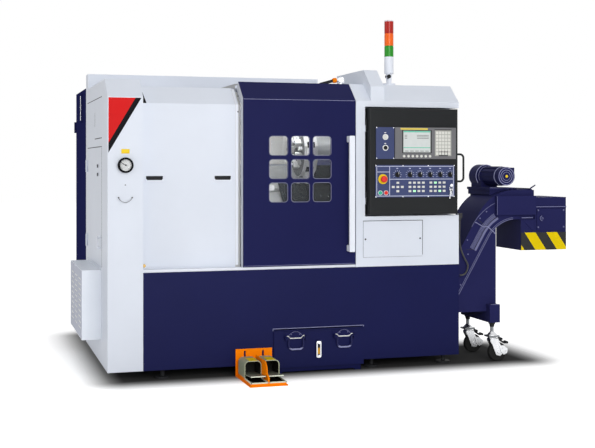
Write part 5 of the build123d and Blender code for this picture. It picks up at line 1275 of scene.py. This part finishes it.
way_cover = []
for start, end, lift in ((1.43, 1.368, 0.054), (1.372, 1.306, 0.0505), (1.31, 1.245, 0.047)):
    way_cover += [over_bed(start, end, lift, 0.002), over_bed(end, end + 0.003, lift, 0.006)]
piece("way_cover", SLATE, way_cover, "saddle", soft=0.0005)
carriage_bolts = []
for x in (1.468, 1.505, 1.556):
    for along in (0.352, 0.418):
        carriage_bolts += [
            rod(on_bed(x, along, 0.08), on_bed(x, along, 0.0845), 0.007, sides=18),
            rod(on_bed(x, along, 0.0845), on_bed(x, along, 0.086), 0.004, sides=6),
        ]
piece("carriage_bolts", CHROME, carriage_bolts, "saddle", smooth=True)
splash_sheets = []
for left in (0.815, 1.103, 1.391):
    splash_sheets += [
        (left, left + 0.286, 1.17, 1.175, 1.268, 1.7),
        (left, left + 0.286, 1.164, 1.17, 1.268, 1.28),
    ]
piece("splash_sheets", SPLASH, splash_sheets, soft=0.001)

# Work lamp inside the enclosure: a tube with thicker ends, on a rail with two holders
LAMP_Y, LAMP_LEVEL = 0.435, 1.698
work_lamp = [stub((end, LAMP_Y, LAMP_LEVEL), (0.01, 0, 0), 0.011, sides=20) for end in (0.95, 1.44)]
work_lamp.append(rod((0.96, LAMP_Y, LAMP_LEVEL), (1.44, LAMP_Y, LAMP_LEVEL), 0.009, sides=20))
piece("work_lamp", LAMP, work_lamp, smooth=True)
piece("lamp_holders", WHITE_TRIM, [
    (0.948, 0.962, 0.42, 0.45, 1.7, 1.722),
    (1.438, 1.452, 0.42, 0.45, 1.7, 1.722),
    (0.948, 1.452, 0.428, 0.442, 1.714, 1.722),
], soft=0.001)

# Floor, light and camera
bpy.ops.mesh.primitive_plane_add(size=60, location=(0, 0, 0))
ground = bpy.context.object
ground.name = "floor"


def background_rays(tree):
    # True for what the camera sees straight, in metal or through glass
    rays = tree.nodes.new("ShaderNodeLightPath").outputs
    either = larger(tree, rays["Is Camera Ray"], rays["Is Glossy Ray"])
    return larger(tree, either, rays["Is Transmission Ray"])


# Painted shadow: the floor is dark at the machine's footprint and brightens to white with the distance from
# it
FOOTPRINTS = [(at(0.1, 0.02, 0), at(2.25, 1.85, 0)), (at(2.2, 0.02, 0), at(2.66, 0.6, 0))]
CONTACT_REACH, SHADOW_REACH, FLOOR_GLOW = 0.24, 0.42, 0.75
floor_material, floor_tree, floor_shader = new_material("white floor with painted shadow")
distance = nearest_box(floor_tree, FOOTPRINTS)
near = mapped(floor_tree, distance, {"From Max": SHADOW_REACH, "To Max": FLOOR_GLOW})
near.node.interpolation_type = "SMOOTHSTEP"
contact_shadow = mapped(floor_tree, distance, {"From Max": CONTACT_REACH})
floor_shadow_stops = [(0.0, (0.07, 0.07, 0.07)), (0.35, (0.22, 0.22, 0.22)), (1.0, (0.92, 0.92, 0.92))]
glow = add_node(floor_tree, "ShaderNodeMath", {0: near, 1: background_rays(floor_tree)}, "MULTIPLY")
feed(floor_shader, {
    "Base Color": ramp(floor_tree, contact_shadow, floor_shadow_stops),
    "Roughness": 0.95,
    "Specular IOR Level": 0.0,
    "Emission Color": (1, 1, 1, 1),
    "Emission Strength": glow.outputs["Value"],
})
ground.data.materials.append(floor_material)

# Even light from around, less from overhead, and white where it is seen
world = bpy.data.worlds.new("studio")
scene.world = world
world.use_nodes = True
sky = world.node_tree
upward = height_in(sky, sky.nodes.new("ShaderNodeTexCoord").outputs["Generated"])
dome = mapped(sky, upward, {"To Min": 0.62, "To Max": 0.34})
feed(sky.nodes["Background"], {"Color": (1, 1, 1, 1), "Strength": larger(sky, dome, background_rays(sky))})


def soft_light(name, place, size, power):
    data = bpy.data.lights.new(name, "AREA")
    data.shape = "RECTANGLE"
    data.size, data.size_y = size
    data.energy = power
    lamp = bpy.data.objects.new(name, data)
    lamp.location = place
    target = Vector((0, 0, 1.0))
    lamp.rotation_euler = (target - Vector(place)).to_track_quat("-Z", "Y").to_euler()
    scene.collection.objects.link(lamp)


soft_light("key light", (-0.6, -7.2, 2.3), (4.0, 2.6), 215)
soft_light("top light", (0.6, -0.4, 5.6), (3.5, 3.0), 25)
soft_light("left light", (-6.5, -2.0, 1.6), (2.5, 2.5), 38)

camera_data = bpy.data.cameras.new("photo view")
camera = bpy.data.objects.new("photo view", camera_data)
scene.collection.objects.link(camera)
IMAGE_WIDTH, FOCAL_PIXELS, HORIZON_ROW, MIDDLE_ROW = 595, 1102.0, 164.7, 224.0
camera_data.sensor_width = 36.0
camera_data.lens = FOCAL_PIXELS * camera_data.sensor_width / IMAGE_WIDTH
camera_data.shift_y = -(MIDDLE_ROW - HORIZON_ROW) / IMAGE_WIDTH
camera.location = at(-0.779, -6.417, 1.265)
camera.rotation_euler = (math.radians(90), 0, math.radians(-16.7))
scene.camera = camera
scene.view_settings.view_transform = "Standard"
